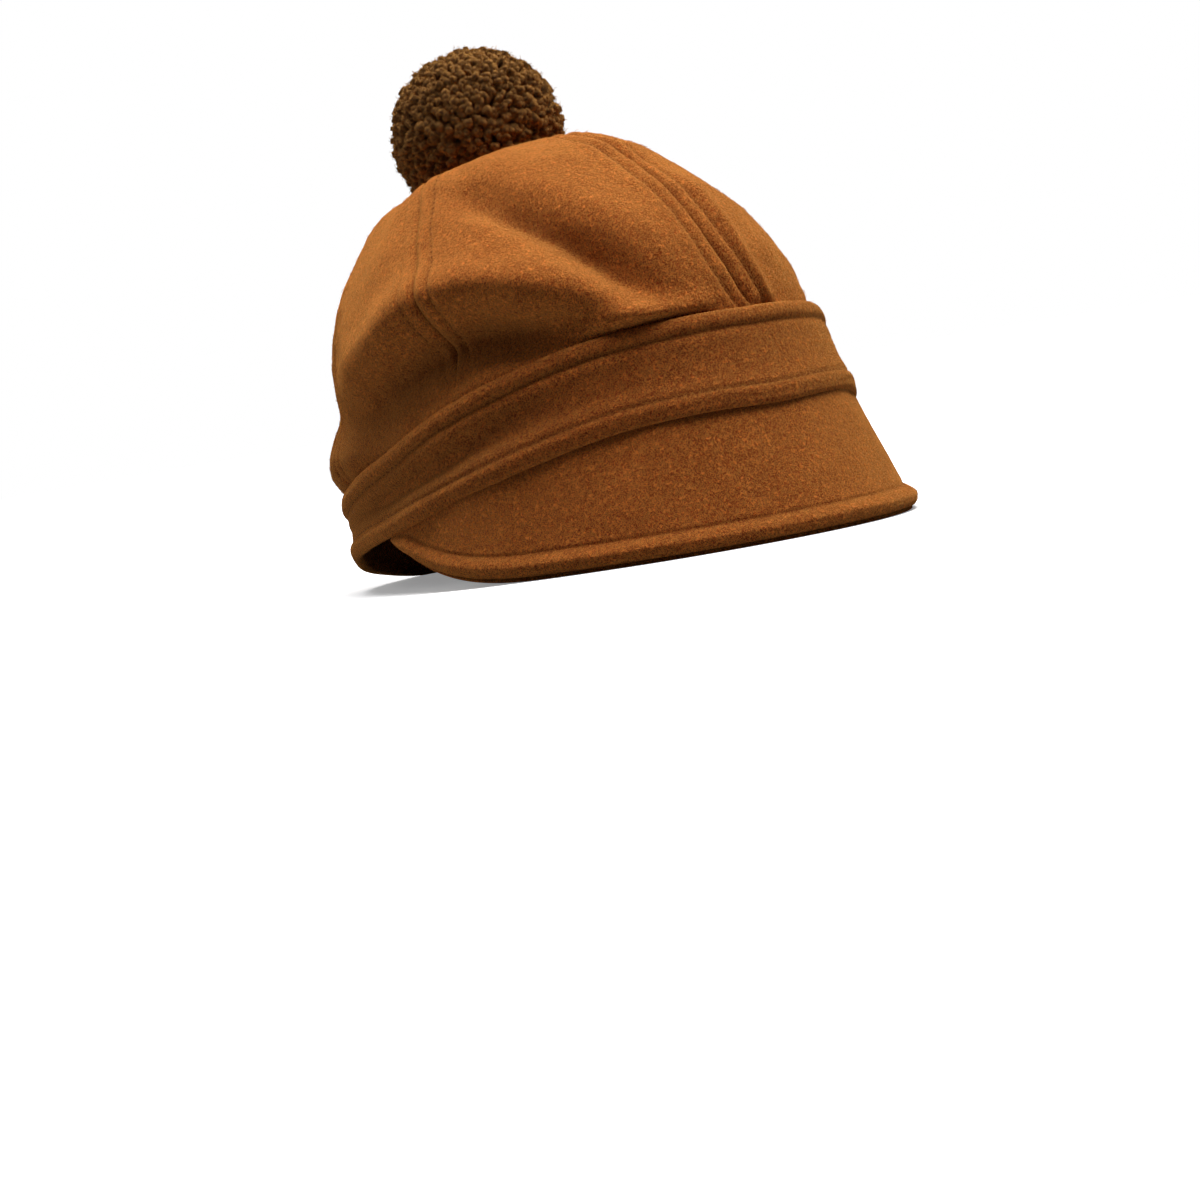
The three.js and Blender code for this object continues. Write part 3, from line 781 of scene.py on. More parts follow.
def seam_relief(distance):
    """How far a seam's ridges and valleys lift the cloth."""
    total = np.zeros_like(distance)
    for ridge in SEAM_RIDGES:
        total += ridge["height"] * np.exp(-(((distance - ridge["distance"]) / ridge["half"]) ** 2))
    return total


# Darkening for held-down fibres and painted shade, in a seam's valley and on its stitch lines.
def seam_press_and_shade(distance):
    """1 in the seam's valley and on its stitch lines, and 0 in the open cloth."""
    valley = np.exp(-((distance / STITCH_LINE_HALF) ** 2))
    line = np.exp(-(((distance - STITCH_FROM_SEAM) / STITCH_LINE_HALF) ** 2))
    return np.maximum(valley, 0.8 * line)


def painted_shade_under_ledge(angle, up):
    """A patch of painted shade under the ledge, darkest in its middle."""
    beside = ((angle - LEDGE_PAINTED_SHADE["angle"]) / LEDGE_PAINTED_SHADE["spread"]) ** 2
    above = ((up - LEDGE_PAINTED_SHADE["up"]) / LEDGE_PAINTED_SHADE["reach"]) ** 2
    return LEDGE_PAINTED_SHADE["amount"] * np.exp(-beside - above)


def millimetres_per_degree(angle, up):
    """How far round the crown one degree reaches."""
    step = crown_form(angle + 0.5, up) - crown_form(angle - 0.5, up)
    return np.linalg.norm(step, axis=-1)


print("Seams:", len(PANELS))

# %% [markdown]
# ## From seams to panels
#
# A panel's grid has close columns beside its two seams and wide ones between them. The seams don't
# run quite straight, so each row finds its own angles. The outer and the inner face come from the
# same form, and the relief of a seam is much weaker inside, because thick cloth evens it out.

# %% Crown panels
def crown_surface(angle, up, distance, shrink):
    """Outer and inner points of the crown, with its folds, seams and unevenness."""
    form = crown_form(angle, up)
    normal = crown_normal(angle, up)
    fold = fold_rise(form, up)
    relief = seam_relief(distance) * shrink * smoothstep(up, *FOLD_START)
    uneven = ripple(form, 26, 0.3, seed=3) + ripple(form, 9, 0.1, seed=4)
    outer = form + normal * (fold + relief + uneven)[..., None]
    inner = form + normal * (fold + INNER_RELIEF * relief + uneven - CLOTH)[..., None]
    return outer, inner, fold


def seam_angle(seam, up):
    """Where a seam lies at each way up."""
    if seam in SEAM_DRIFT:
        return seam + through(*SEAM_DRIFT[seam], up)
    return np.full_like(up, seam)


def seam_strength(seam, up):
    """How clearly a seam shows at each way up."""
    shown = through(*SEAM_SHOWN[seam], up) if seam in SEAM_SHOWN else np.ones_like(up)
    return SEAM_STRENGTH[seam] * shown


def panel_columns(first, second, ups):
    """Angles of a panel's columns in every row, and their distance from the nearer seam."""
    up = ups[:, None]
    start, end = seam_angle(first, up), seam_angle(second, up)
    width = (end - start) * millimetres_per_degree((start + end) / 2, up)
    shrink = np.minimum(1, width / SEAM_FREE_WIDTH)
    near = np.linspace(SEAM_SLIT, SEAM_REACH, SEAM_COLUMNS)[None, :]
    left = start + near * shrink / millimetres_per_degree(start, up)
    right_side = end - near[:, ::-1] * shrink / millimetres_per_degree(end, up)
    count = int((width.max() - 2 * SEAM_REACH) / MIDDLE_SPACING)
    share = np.linspace(0, 1, count + 2)[None, 1:-1]
    between = left[:, -1:] + (right_side[:, :1] - left[:, -1:]) * share
    angle = np.concatenate([left, between, right_side], 1)
    far = np.full((1, count), 2 * SEAM_REACH)
    distance = np.concatenate([near, far, near[:, ::-1]], 1) * np.ones_like(up)
    near_start = np.arange(angle.shape[1])[None, :] < SEAM_COLUMNS
    rear = 1 - (1 - SEAM_REAR_SIDE.get(first, 1)) * smoothstep(distance, 1.5, 3.5)
    strength = np.where(near_start, seam_strength(first, up) * rear, seam_strength(second, up))
    return angle, distance, shrink * strength


ups = even_ups()
crown_grids = []
for name, first, second in PANELS:
    angle, distance, shrink = panel_columns(first, second, ups)
    up = ups[:, None] * np.ones_like(angle)
    outer, inner, fold = crown_surface(angle, up, distance, shrink)
    crown_grids.append(outer)
    press = seam_press_and_shade(distance) * smoothstep(shrink, 0, 0.5)
    # Painted shade where a fold sinks in.
    press = np.maximum(press, HOLLOW_PAINTED_SHADE * smoothstep(-fold, 1.0, 9.0))
    # Painted shade in a patch under the ledge.
    press = np.maximum(press, painted_shade_under_ledge(angle, up))
    points = stand(np.stack([outer, inner]))
    faces = sheet_faces(*angle.shape)
    make_piece("wool_" + name, points, faces, crown_wool, [name],
               {"pressed": np.stack([press, press * 0])})

# %% [markdown]
# ## The band
#
# The band is a long strip folded double and stitched along both edges, so each edge is a soft round
# roll and the middle is slightly hollow. Its section is drawn once as a closed loop and carried round
# the head. The upper edge climbs over the brow, which the table of heights gives.

# %% The band's section
BAND_WALL = 3.2
BAND_STATIONS = 460
# The band's hollow is sunk and also darkened as painted shade.
BAND_HOLLOW = {"depth": 4.0, "angle": 92, "spread": 42, "painted_shade": 0.7}
LOW_ROLL = {"middle": 4.8, "half": 3.3, "height": 1.6}
TOP_ROLL = {"middle": 3.2, "half": 2.6, "height": 1.2}
LOW_PUFF = {"middle": 9.6, "half": 2.3, "height": 0.4, "at_hollow": 1.2}
TOP_PUFF = {"middle": 9.4, "half": 2.2, "height": 0.3, "at_hollow": 1.0}
BAND_STITCH = {"low": 6.8, "top": 6.2, "half": 0.7, "depth": 0.7}
ROUND_STEPS = 9
ROUND_ROOM = 2.3
BAND_FACE_ROWS = 40


def beside_band(angle, proud, height):
    """A point beside the line of the band's lower edge."""
    turn = np.radians(angle)
    across, along = -np.sin(turn), -np.cos(turn)
    normal = unit(np.stack([across / HALF_WIDTH, along / HALF_LENGTH, 0 * turn], -1))
    edge = np.stack([HALF_WIDTH * across, HALF_LENGTH * along, height + 0 * turn], -1)
    return edge + normal * np.asarray(proud)[..., None]


def bell(value, middle, half):
    """1 at the middle, fading to both sides."""
    return np.exp(-(((value - middle) / half) ** 2))


def band_proud(angle, from_low, from_top):
    """How far the band's face stands out at a height."""
    hollow = bell(angle, BAND_HOLLOW["angle"], BAND_HOLLOW["spread"])
    low_puff = LOW_PUFF["height"] + LOW_PUFF["at_hollow"] * hollow
    top_puff = TOP_PUFF["height"] + TOP_PUFF["at_hollow"] * hollow
    share = np.clip(from_low / (from_low + from_top), 0, 1)
    face = LOW_ROLL["height"] * bell(from_low, LOW_ROLL["middle"], LOW_ROLL["half"])
    face = face + TOP_ROLL["height"] * bell(from_top, TOP_ROLL["middle"], TOP_ROLL["half"])
    face = face + low_puff * bell(from_low, LOW_PUFF["middle"], LOW_PUFF["half"])
    face = face + top_puff * bell(from_top, TOP_PUFF["middle"], TOP_PUFF["half"])
    face = face - BAND_STITCH["depth"] * bell(from_low, BAND_STITCH["low"], BAND_STITCH["half"])
    face = face - BAND_STITCH["depth"] * bell(from_top, BAND_STITCH["top"], BAND_STITCH["half"])
    return face - BAND_HOLLOW["depth"] * hollow * hollow_share(share)


def hollow_share(share):
    """How deep the band's hollow is, from 0 at both edges to 1 in its middle."""
    return np.sin(math.pi * np.clip(share, 0, 1) ** 0.85) ** 4


def band_point(angle, proud, height):
    """A point of the band, with the slow unevenness of cloth."""
    point = beside_band(angle + 0 * height, proud - BAND_LEAN * height, height)
    wave = ripple(point, 30, 0.25, seed=8)
    return point + unit(point * [1, 1, 0]) * wave[..., None]


def rounded_edge(outer_proud, inner_proud, steps):
    """Offsets of a half circle from the outer face round to the inner face."""
    turn = np.linspace(0, math.pi, steps + 2)[1:-1]
    middle = (outer_proud + inner_proud) / 2
    radius = (outer_proud - inner_proud) / 2
    return middle[..., None] + radius[..., None] * np.cos(turn), radius[..., None] * np.sin(turn)


print("The band's wall is", BAND_WALL, "mm thick")

# %% [markdown]
# ## Carrying the section round the head
#
# The face has many rows, because its rolls and stitch lines are narrow. The two edges are half
# circles between the outer and the inner face, so the cloth looks folded and not cut.

# %% The band
band_angle = np.linspace(-180, 180, BAND_STATIONS, endpoint=False)[:, None]
low, top = band_low(band_angle), band_top(band_angle)
shares = np.linspace(0, 1, BAND_FACE_ROWS)[None, :]
height = low + ROUND_ROOM + (top - low - 2 * ROUND_ROOM) * shares
proud = band_proud(band_angle, height - low, top - height)
inner_proud = np.full_like(proud, -BAND_WALL)


def edge_roll(row, height_sign):
    """The round of one edge, from the outer face to the inner face beyond the row."""
    offset, reach = rounded_edge(proud[:, row], inner_proud[:, row], ROUND_STEPS)
    return offset, height[:, row:row + 1] + height_sign * reach * ROUND_ROOM / reach.max()


top_offset, top_height = edge_roll(BAND_FACE_ROWS - 1, 1)
low_offset, low_height = edge_roll(0, -1)
loop_proud = np.concatenate([proud, top_offset, inner_proud[:, ::-1], low_offset[:, ::-1]], 1)
loop_height = np.concatenate([height, top_height, height[:, ::-1], low_height[:, ::-1]], 1)
band_points = band_point(band_angle, loop_proud, loop_height)

# Darkening of the band: held-down fibres and painted shade on its stitch lines, painted shade in its
# hollow.
band_press_and_shade = np.maximum(
    bell(loop_height - low, BAND_STITCH["low"], BAND_STITCH["half"]),
    bell(top - loop_height, BAND_STITCH["top"], BAND_STITCH["half"]),
)
band_hollow_shade = bell(band_angle, BAND_HOLLOW["angle"], BAND_HOLLOW["spread"])
band_hollow_shade = band_hollow_shade * hollow_share((loop_height - low) / (top - low))
outer_face = loop_proud > -BAND_WALL + 0.1
band_press_and_shade = np.maximum(band_press_and_shade, BAND_HOLLOW["painted_shade"] * band_hollow_shade) * outer_face
band_faces = grid_faces(*loop_proud.shape, rows_meet=True, columns_meet=True)
make_piece("wool_band", stand(band_points), band_faces, shaded_band_wool, ["band"],
           {"pressed": band_press_and_shade})

# %% [markdown]
# ## The peak and its facing
#
# The peak hangs steeply from the band like a piece of a cone. Its outer cloth is turned under at the
# edge and stitched, which makes a fat round welt, and the thin facing shows below it as a second
# layer. Both are closed loops again, carried from one temple to the other.

# %% The peak's form
PEAK_FLARE = math.radians(11)
PEAK_INSET = 1.2
PEAK_TUCK = 0.8
PEAK_END = 98
PEAK_FLAT = 60
PEAK_CURVE = 2.5
PEAK_MEETS_BAND = 100
PEAK_COVER = 2.4
PEAK_FACING = 1.6
PEAK_WELT_ROOM = 12
GAP = 0.3
PEAK_STATIONS = 300
WELT = {"middle": 5.6, "half": 2.8, "height": 2.5}
PEAK_STITCH = {"middle": 9.2, "half": 0.8, "depth": 0.6, "pressed": 0.6}
# Painted shadow in the crevice where the peak goes in under the band.
CREVICE_SHADOW = {"from": 0.88, "to": 0.97, "pressed": 0.9}
COVER_EDGE = 1.5
UNDERSIDE_SKEW = 1.35
FACING_REACH = 1.0
FACING_EDGE = 1.2
COVER_START = 4.2
WELT_ZONE = 14
WELT_ROWS = 26


def peak_point(angle, proud, length):
    """A point of the peak, a length down its slope from where it is tucked into the band."""
    slope_proud = proud - PEAK_INSET + length * math.sin(PEAK_FLARE)
    point = beside_band(angle, slope_proud, band_low(angle) + PEAK_TUCK)
    point[..., 2] -= length * math.cos(PEAK_FLARE)
    return point


def standing_height(point):
    """Height over the table of a point in the band's frame."""
    return -point[..., 1] * math.sin(REST_TILT) + point[..., 2] * math.cos(REST_TILT) + REST_LIFT


def peak_length(angle, proud):
    """How long the peak is at an angle for its edge to reach the table."""
    past = np.maximum(np.abs(angle) - PEAK_FLAT, 0) / (PEAK_MEETS_BAND - PEAK_FLAT)
    meets = np.full_like(angle, PEAK_MEETS_BAND)
    edge_height = standing_height(peak_point(meets, 0 * proud, 0 * proud)) * past**PEAK_CURVE
    start = standing_height(peak_point(angle, proud, 0 * proud))
    fall = start - standing_height(peak_point(angle, proud, 0 * proud + 1))
    return (start - edge_height) / fall


def peak_surface(angle, proud, distance, share):
    """A point of the peak at a distance up from its edge, and a share of the way on to the band."""
    room = np.minimum(1, peak_length(angle, 0 * angle) / PEAK_WELT_ROOM)
    out = np.where(proud > -0.01, proud * room, proud + 0 * room)
    length = peak_length(angle + 0 * out, out)
    from_edge = distance * room
    point = peak_point(angle + 0 * out, out, length - from_edge - (length - from_edge) * share)
    wave = ripple(point, 34, 0.3, seed=11) * smoothstep(standing_height(point), 0.5, 9)
    return point + unit(point * [1, 1, 0]) * wave[..., None]


print("The peak is", round(float(peak_length(np.zeros(1), np.zeros(1))[0]), 1), "mm long in front")

# %% [markdown]
# ## Two cloths on one form
#
# The cover and the facing are each drawn as a closed section: pairs of a distance up from the edge
# and how far the cloth stands proud there. A share takes over above the welt, so that the same
# section fits the long front and the short sides.

# %% The peak's cover and facing
def peak_loop(name, profile, press=None):
    """A piece of the peak from a closed section. Returns its points.

    Each entry of the section is a distance up from the edge, how far it stands proud, and the
    share of the rest of the way up to the band.
    """
    angle = np.linspace(-PEAK_END, PEAK_END, PEAK_STATIONS)[:, None]
    distance, proud, share = (np.array(column)[None, :] for column in zip(*profile))
    points = peak_surface(angle, proud, distance, share)
    rows, columns = points.shape[:2]
    faces = grid_faces(rows, columns, columns_meet=True)
    pressed = np.zeros((rows, columns))
    if press is not None:
        pressed = pressed + press(distance, share) * (proud > -1.2)
    make_piece("wool_" + name, stand(points), faces, peak_wool, [name],
               {"pressed": pressed})
    return points


def cover_profile():
    """The cover's section: up the face, back down inside and round the rolled edge."""
    face = []
    for distance in np.linspace(COVER_START, WELT_ZONE, WELT_ROWS):
        proud = WELT["height"] * bell(distance, WELT["middle"], WELT["half"])
        proud -= PEAK_STITCH["depth"] * bell(distance, PEAK_STITCH["middle"], PEAK_STITCH["half"])
        face.append((distance, proud, 0.0))
    for share in np.linspace(0, 1, 22)[1:]:
        face.append((WELT_ZONE, 0.0, share))
    inside = [(WELT_ZONE, -PEAK_COVER, share) for share in np.linspace(1, 0, 12)]
    inside += [(distance, -PEAK_COVER, 0.0) for distance in (11, 8, 5.5)]
    start = face[0]
    middle = (start[1] - PEAK_COVER) / 2
    radius = (start[1] + PEAK_COVER) / 2
    roll = []
    for turned in np.linspace(1, 0, 14)[1:-1]:
        drop = (start[0] - COVER_EDGE) * math.sin(math.pi * turned**UNDERSIDE_SKEW)
        roll.append((start[0] - drop, middle + radius * math.cos(math.pi * turned), 0.0))
    return face + inside + roll


def facing_profile():
    """The facing's section: a thin layer inside the cover with a foot that shows below its edge."""
    back_face = -PEAK_COVER - GAP
    tip = back_face + FACING_REACH + 0.2
    foot = [(0.0, back_face + 0.4, 0), (0.0, tip - 0.5, 0), (0.2, tip - 0.1, 0), (0.55, tip, 0),
            (0.95, tip - 0.15, 0), (FACING_EDGE, tip - 0.6, 0), (FACING_EDGE, back_face + 0.2, 0)]
    start = FACING_EDGE + 0.4
    inner_face = back_face - PEAK_FACING
    face = [(start, back_face, share) for share in np.linspace(0, 1, 14)]
    inside = [(start, inner_face, share) for share in np.linspace(1, 0, 14)]
    return foot + face + inside + [(0.3, inner_face + 0.1, 0), (0.0, back_face - 1.2, 0)]


def cover_press_and_shadow(distance, share):
    """Where the cover is darkened: on its stitch line for held-down fibres and painted shade, and in
    the crevice under the band as a painted shadow.
    """
    stitched = PEAK_STITCH["pressed"] * bell(distance, PEAK_STITCH["middle"], PEAK_STITCH["half"])
    crevice = CREVICE_SHADOW["pressed"] * smoothstep(share, CREVICE_SHADOW["from"], CREVICE_SHADOW["to"])
    return np.maximum(stitched, crevice)


peak_cover_points = peak_loop("peak_cover", cover_profile(), cover_press_and_shadow)
peak_loop("peak_facing", facing_profile())

# %% [markdown]
# ## The pompom
#
# A pompom is made of hundreds of cut ends of yarn tied at their middle. A fur particle system would
# look too smooth: what shows is the blunt, slightly curled end of each strand, with dark gaps
# between. So each end is a short bent tube with two twisted plies, and all are joined in one mesh.
# The ends are spread over the ball by the golden angle, which leaves no rows.

# %% Ends of yarn
POMPOM_CENTRE = np.array([5.6, 15.5, 135.6])
POMPOM_RADIUS = 31.2
YARN_ENDS = 1900
YARN_RINGS = 6
YARN_SIDES = 7
YARN_RADIUS = 1.42
YARN_ROOT = 21
YARN_CURL = 0.6
YARN_TWIST = 3.2
PLY_DEPTH = 0.22
HEART_SPOKES = 48
HEART_RINGS = 24


def golden_directions(count, chance, jitter):
    """Directions spread evenly over a ball, each moved a little."""
    number = np.arange(count)
    height = -1 + 2 * (number + 0.5) / count
    turn = number * math.pi * (3 - math.sqrt(5))
    ring = np.sqrt(1 - height**2)
    even = np.stack([ring * np.cos(turn), ring * np.sin(turn), height], -1)
    return unit(even + chance.normal(scale=jitter, size=(count, 3)))


def build_pompom():
    """Points and faces of all yarn ends, with each point's shade, way to the tip and ply."""
    chance = np.random.default_rng(21)
    direction = golden_directions(YARN_ENDS, chance, 0.024)
    side, front = cross_pair(direction)
    lean_turn = chance.uniform(0, 2 * math.pi, YARN_ENDS)
    lean = side * np.cos(lean_turn)[:, None] + front * np.sin(lean_turn)[:, None]
    reach = POMPOM_RADIUS + np.clip(chance.normal(-1.1, 0.6, YARN_ENDS), -2.6, 0.1)
    along = np.linspace(0, 1, YARN_RINGS)[None, :]
    distance = YARN_ROOT + (reach[:, None] - YARN_ROOT) * along
    bend = chance.uniform(0.2, 1.6, YARN_ENDS)[:, None] * along**2
    curl = chance.uniform(0, 2 * math.pi, YARN_ENDS)[:, None] + 4.5 * along
    wind = (side[:, None, :] * np.cos(curl)[..., None]
            + front[:, None, :] * np.sin(curl)[..., None])
    centres = (direction[:, None, :] * distance[..., None] + lean[:, None, :] * bend[..., None]
               + wind * (YARN_CURL * along)[..., None])
    swell = np.interp(along, [0, 0.5, 0.75, 0.9, 1], [0.7, 0.95, 1.15, 1.2, 0.7])
    lumps = chance.uniform(0.8, 1.2, (YARN_ENDS, YARN_RINGS))
    radii = YARN_RADIUS * swell * lumps * chance.uniform(0.8, 1.2, YARN_ENDS)[:, None]
    turn = np.linspace(0, 2 * math.pi, YARN_SIDES, endpoint=False)[None, None, :]
    twist = chance.uniform(0, 6, YARN_ENDS)[:, None, None] + YARN_TWIST * along[..., None]
    rough = chance.uniform(-0.1, 0.1, (YARN_ENDS, YARN_RINGS, YARN_SIDES))
    outline = 1 + PLY_DEPTH * np.cos(2 * (turn - twist)) + rough
    sides = np.repeat(side[:, None, :], YARN_RINGS, 1)
    fronts = np.repeat(front[:, None, :], YARN_RINGS, 1)
    points, faces = tubes(centres, sides, fronts, radii, outline)
    tint = np.repeat(chance.uniform(0, 1, YARN_ENDS), YARN_RINGS * YARN_SIDES)
    tip = (along[..., None] * np.ones_like(outline)).ravel()
    ply = (np.cos(2 * (turn - twist)) + 0 * outline).ravel()
    return points + POMPOM_CENTRE, faces, {"tint": tint, "tip": tip, "ply": ply}


def pompom_heart():
    """The tied middle of the pompom, a ball that the ends of yarn stand on. It has no tip mark, so it
    takes the yarn's painted root shade all over.
    """
    spokes = np.linspace(0, 2 * math.pi, HEART_SPOKES, endpoint=False)
    turn, rise = np.meshgrid(spokes, np.linspace(-1.5, 1.5, HEART_RINGS), indexing="ij")
    ball = np.stack([np.cos(turn) * np.cos(rise), np.sin(turn) * np.cos(rise), np.sin(rise)], -1)
    reach = YARN_ROOT + 3 + ripple(30 * ball, 9, 0.5, seed=5)
    points = POMPOM_CENTRE + ball * reach[..., None]
    number = np.arange(HEART_SPOKES * HEART_RINGS).reshape(HEART_SPOKES, HEART_RINGS)
    caps = [number[::-1, 0].tolist(), number[:, -1].tolist()]
    return points, grid_faces(HEART_SPOKES, HEART_RINGS, rows_meet=True).tolist() + caps


print("Each end of yarn has", YARN_RINGS * YARN_SIDES, "points")

# %% [markdown]
# ## Brown yarn of mixed shades
#
# No two ends of yarn are dyed alike. Each end carries a random mark called tint, and a colour ramp
# turns it into one of several browns. A second mark gives the way to the tip, which darkens the
# root, where little light gets in, and the cut end.

# %% The pompom
def yarn_material():
    """Brown yarn of mixed shades, darker at its root, with fine fibres along it."""
    material = bpy.data.materials.new("pompom yarn")
    material.use_nodes = True
    tree = material.node_tree
    shader = tree.nodes["Principled BSDF"]
    tint = tree.nodes.new("ShaderNodeAttribute")
    tint.attribute_name = "tint"
    tip = tree.nodes.new("ShaderNodeAttribute")
    tip.attribute_name = "tip"
    place = tree.nodes.new("ShaderNodeTexCoord").outputs["Object"]
    shades = tree.nodes.new("ShaderNodeValToRGB")
    ramp = shades.color_ramp
    ramp.elements[0].color = (0.018, 0.007, 0.002, 1)
    ramp.elements[1].color = (0.100, 0.050, 0.015, 1)
    ramp.elements.new(0.3).color = (0.034, 0.014, 0.004, 1)
    ramp.elements.new(0.6).color = (0.055, 0.025, 0.007, 1)
    ramp.elements.new(0.8).color = (0.040, 0.016, 0.004, 1)
    tree.links.new(tint.outputs["Fac"], shades.inputs["Fac"])
    fibre = noise(tree, place, 1300, detail=4.0, roughness=0.8, distortion=3.0)
    fibre_share = window(tree, fibre, 0.48, 0.68)
    root_share = window(tree, tip.outputs["Fac"], 0.86, 0.55)
    cut_share = math_node(tree, "MULTIPLY", window(tree, tip.outputs["Fac"], 0.93, 1.0), 0.7)
    colour = mix_colours(tree, fibre_share, shades.outputs["Color"], (0.125, 0.060, 0.017, 1))
    colour = mix_colours(tree, root_share, colour, (0.022, 0.009, 0.002, 1))
    colour = mix_colours(tree, cut_share, colour, (0.045, 0.019, 0.005, 1))
    tree.links.new(colour, shader.inputs["Base Color"])
    relief = tree.nodes.new("ShaderNodeBump")
    relief.inputs["Distance"].default_value = 0.0012
    tree.links.new(fibre, relief.inputs["Height"])
    tree.links.new(relief.outputs["Normal"], shader.inputs["Normal"])
    shader.inputs["Roughness"].default_value = 0.95
    shader.inputs["Specular IOR Level"].default_value = 0.1
    shader.inputs["Sheen Weight"].default_value = 1.0
    shader.inputs["Sheen Roughness"].default_value = 0.33
    shader.inputs["Sheen Tint"].default_value = (1.0, 0.45, 0.11, 1)
    return material


yarn = yarn_material()
yarn_points, faces, marks = build_pompom()
make_piece("yarn_pompom", stand(yarn_points), faces, yarn, ["pompom"], marks)
heart_points, heart_faces = pompom_heart()
make_piece("pompom_heart", stand(heart_points), heart_faces, yarn)
print("The pompom has", YARN_ENDS, "ends of yarn")

# %% [markdown]
# ## Loose fibres
#
# Wool is never quite smooth against the light: single fibres stand off every surface. Hair particles
# could do this, but thin three-sided tubes are ordinary mesh, so they last in any program that opens
# the model. Each fibre starts on the surface, lies over to one side and lifts its tip.

# %% Loose fibres
NAP = {"length": (0.8, 2.2), "lift": (0.15, 0.5), "radius": 0.075}


def fibre_material(name, colour, tint, sheen=0.5):
    """Pale wool fibres of slightly mixed shades."""
    material = bpy.data.materials.new(name)
    material.use_nodes = True
    tree = material.node_tree
    shader = tree.nodes["Principled BSDF"]
    place = tree.nodes.new("ShaderNodeTexCoord").outputs["Object"]
    shade = window(tree, noise(tree, place, 260, detail=2.0), 0.3, 0.7)
    darker = (*[0.55 * value for value in colour], 1)
    tree.links.new(mix_colours(tree, shade, darker, (*colour, 1)), shader.inputs["Base Color"])
    shader.inputs["Roughness"].default_value = 0.9
    shader.inputs["Specular IOR Level"].default_value = 0.1
    shader.inputs["Sheen Weight"].default_value = sheen
    shader.inputs["Sheen Tint"].default_value = (*tint, 1)
    return material


def fibres(starts, normals, chance, length, lift, radius, rings=4):
    """Short bent fibres on a surface."""
    count = len(starts)
    side, front = cross_pair(normals)
    turn = chance.uniform(0, 2 * math.pi, count)[:, None]
    lie = side * np.cos(turn) + front * np.sin(turn)
    across = np.cross(normals, lie)
    share = np.linspace(0, 1, rings)[None, :, None]
    reach = chance.uniform(*length, count)[:, None, None]
    rise = chance.uniform(*lift, count)[:, None, None]
    curl = chance.normal(0, 0.35, count)[:, None, None]
    centres = (starts[:, None, :] + lie[:, None, :] * reach * share
               + normals[:, None, :] * (rise * np.sin(share * 2.2) - 0.1)
               + across[:, None, :] * reach * curl * share**2)
    radii = radius * np.interp(share[..., 0], [0, 0.3, 1], [1, 1, 0.35]) * np.ones((count, 1))
    sides = np.repeat(across[:, None, :], rings, 1)
    fronts = np.repeat(normals[:, None, :], rings, 1)
    return tubes(centres, sides, fronts, radii, np.ones((1, 1, 3)))


print("Nap of", NAP["length"], "mm")

# %% [markdown]
# ## Spreading the nap over the cloth
#
# The grids are denser beside the seams, so fibres spread evenly over their points would crowd
# there. Each patch of a grid gets fibres by its area instead.

# %% The nap
def patches(grid):
    """Two sides of each patch of a grid, and the direction it faces, as long as its area."""
    down, over = grid[1:, :-1] - grid[:-1, :-1], grid[:-1, 1:] - grid[:-1, :-1]
    return down, over, np.cross(down, over)


def scatter(grid, count, chance):
    """Points spread evenly over a grid of surface points, and their normals."""
    down, over, facing = patches(grid)
    area = np.linalg.norm(facing, axis=-1)
    cell = chance.choice(area.size, count, p=area.ravel() / area.sum())
    a, b = chance.uniform(0, 1, (2, count, 1))
    corner = grid[:-1, :-1].reshape(-1, 3)[cell]
    start = corner + a * down.reshape(-1, 3)[cell] + b * over.reshape(-1, 3)[cell]
    return start, unit(facing).reshape(-1, 3)[cell]


wool_fibre = fibre_material("loose wool fibre", (0.60, 0.21, 0.035), (1.0, 0.5, 0.18))
yarn_fibre = fibre_material("loose yarn fibre", (0.21, 0.100, 0.027), (1.0, 0.48, 0.14), sheen=1.0)


def add_nap(name, grids, count, seed):
    """Loose fibres over a few grids of one cloth."""
    chance = np.random.default_rng(seed)
    areas = np.array([np.linalg.norm(patches(g)[2], axis=-1).sum() for g in grids])
    found = [scatter(g, int(count * area / areas.sum()), chance) for g, area in zip(grids, areas)]
    starts = np.concatenate([f[0] for f in found])
    normals = np.concatenate([f[1] for f in found])
    points, faces = fibres(starts, normals, chance, NAP["length"], NAP["lift"], NAP["radius"])
    make_piece(name, stand(points), faces, wool_fibre)


add_nap("crown_nap", crown_grids, 5200, 31)
band_face = band_points[:, :BAND_FACE_ROWS]
band_edge = band_points[:, BAND_FACE_ROWS - 3:BAND_FACE_ROWS + 6]
add_nap("band_nap", [band_face, band_edge], 2400, 32)
welt_points = np.concatenate([peak_cover_points[:, -9:], peak_cover_points[:, :12]], 1)
add_nap("peak_nap", [peak_cover_points[:, :46], welt_points], 2400, 33)

# %% [markdown]
# ## Fibres of the yarn
#
# A ball of blunt ends alone looks moulded, because its outline is too clean. Real yarn sheds a halo
# of single fibres, so every end gets a few, started from random points near its tip and turned
# outward. They are shorter and stand up more than the nap of the cloth.

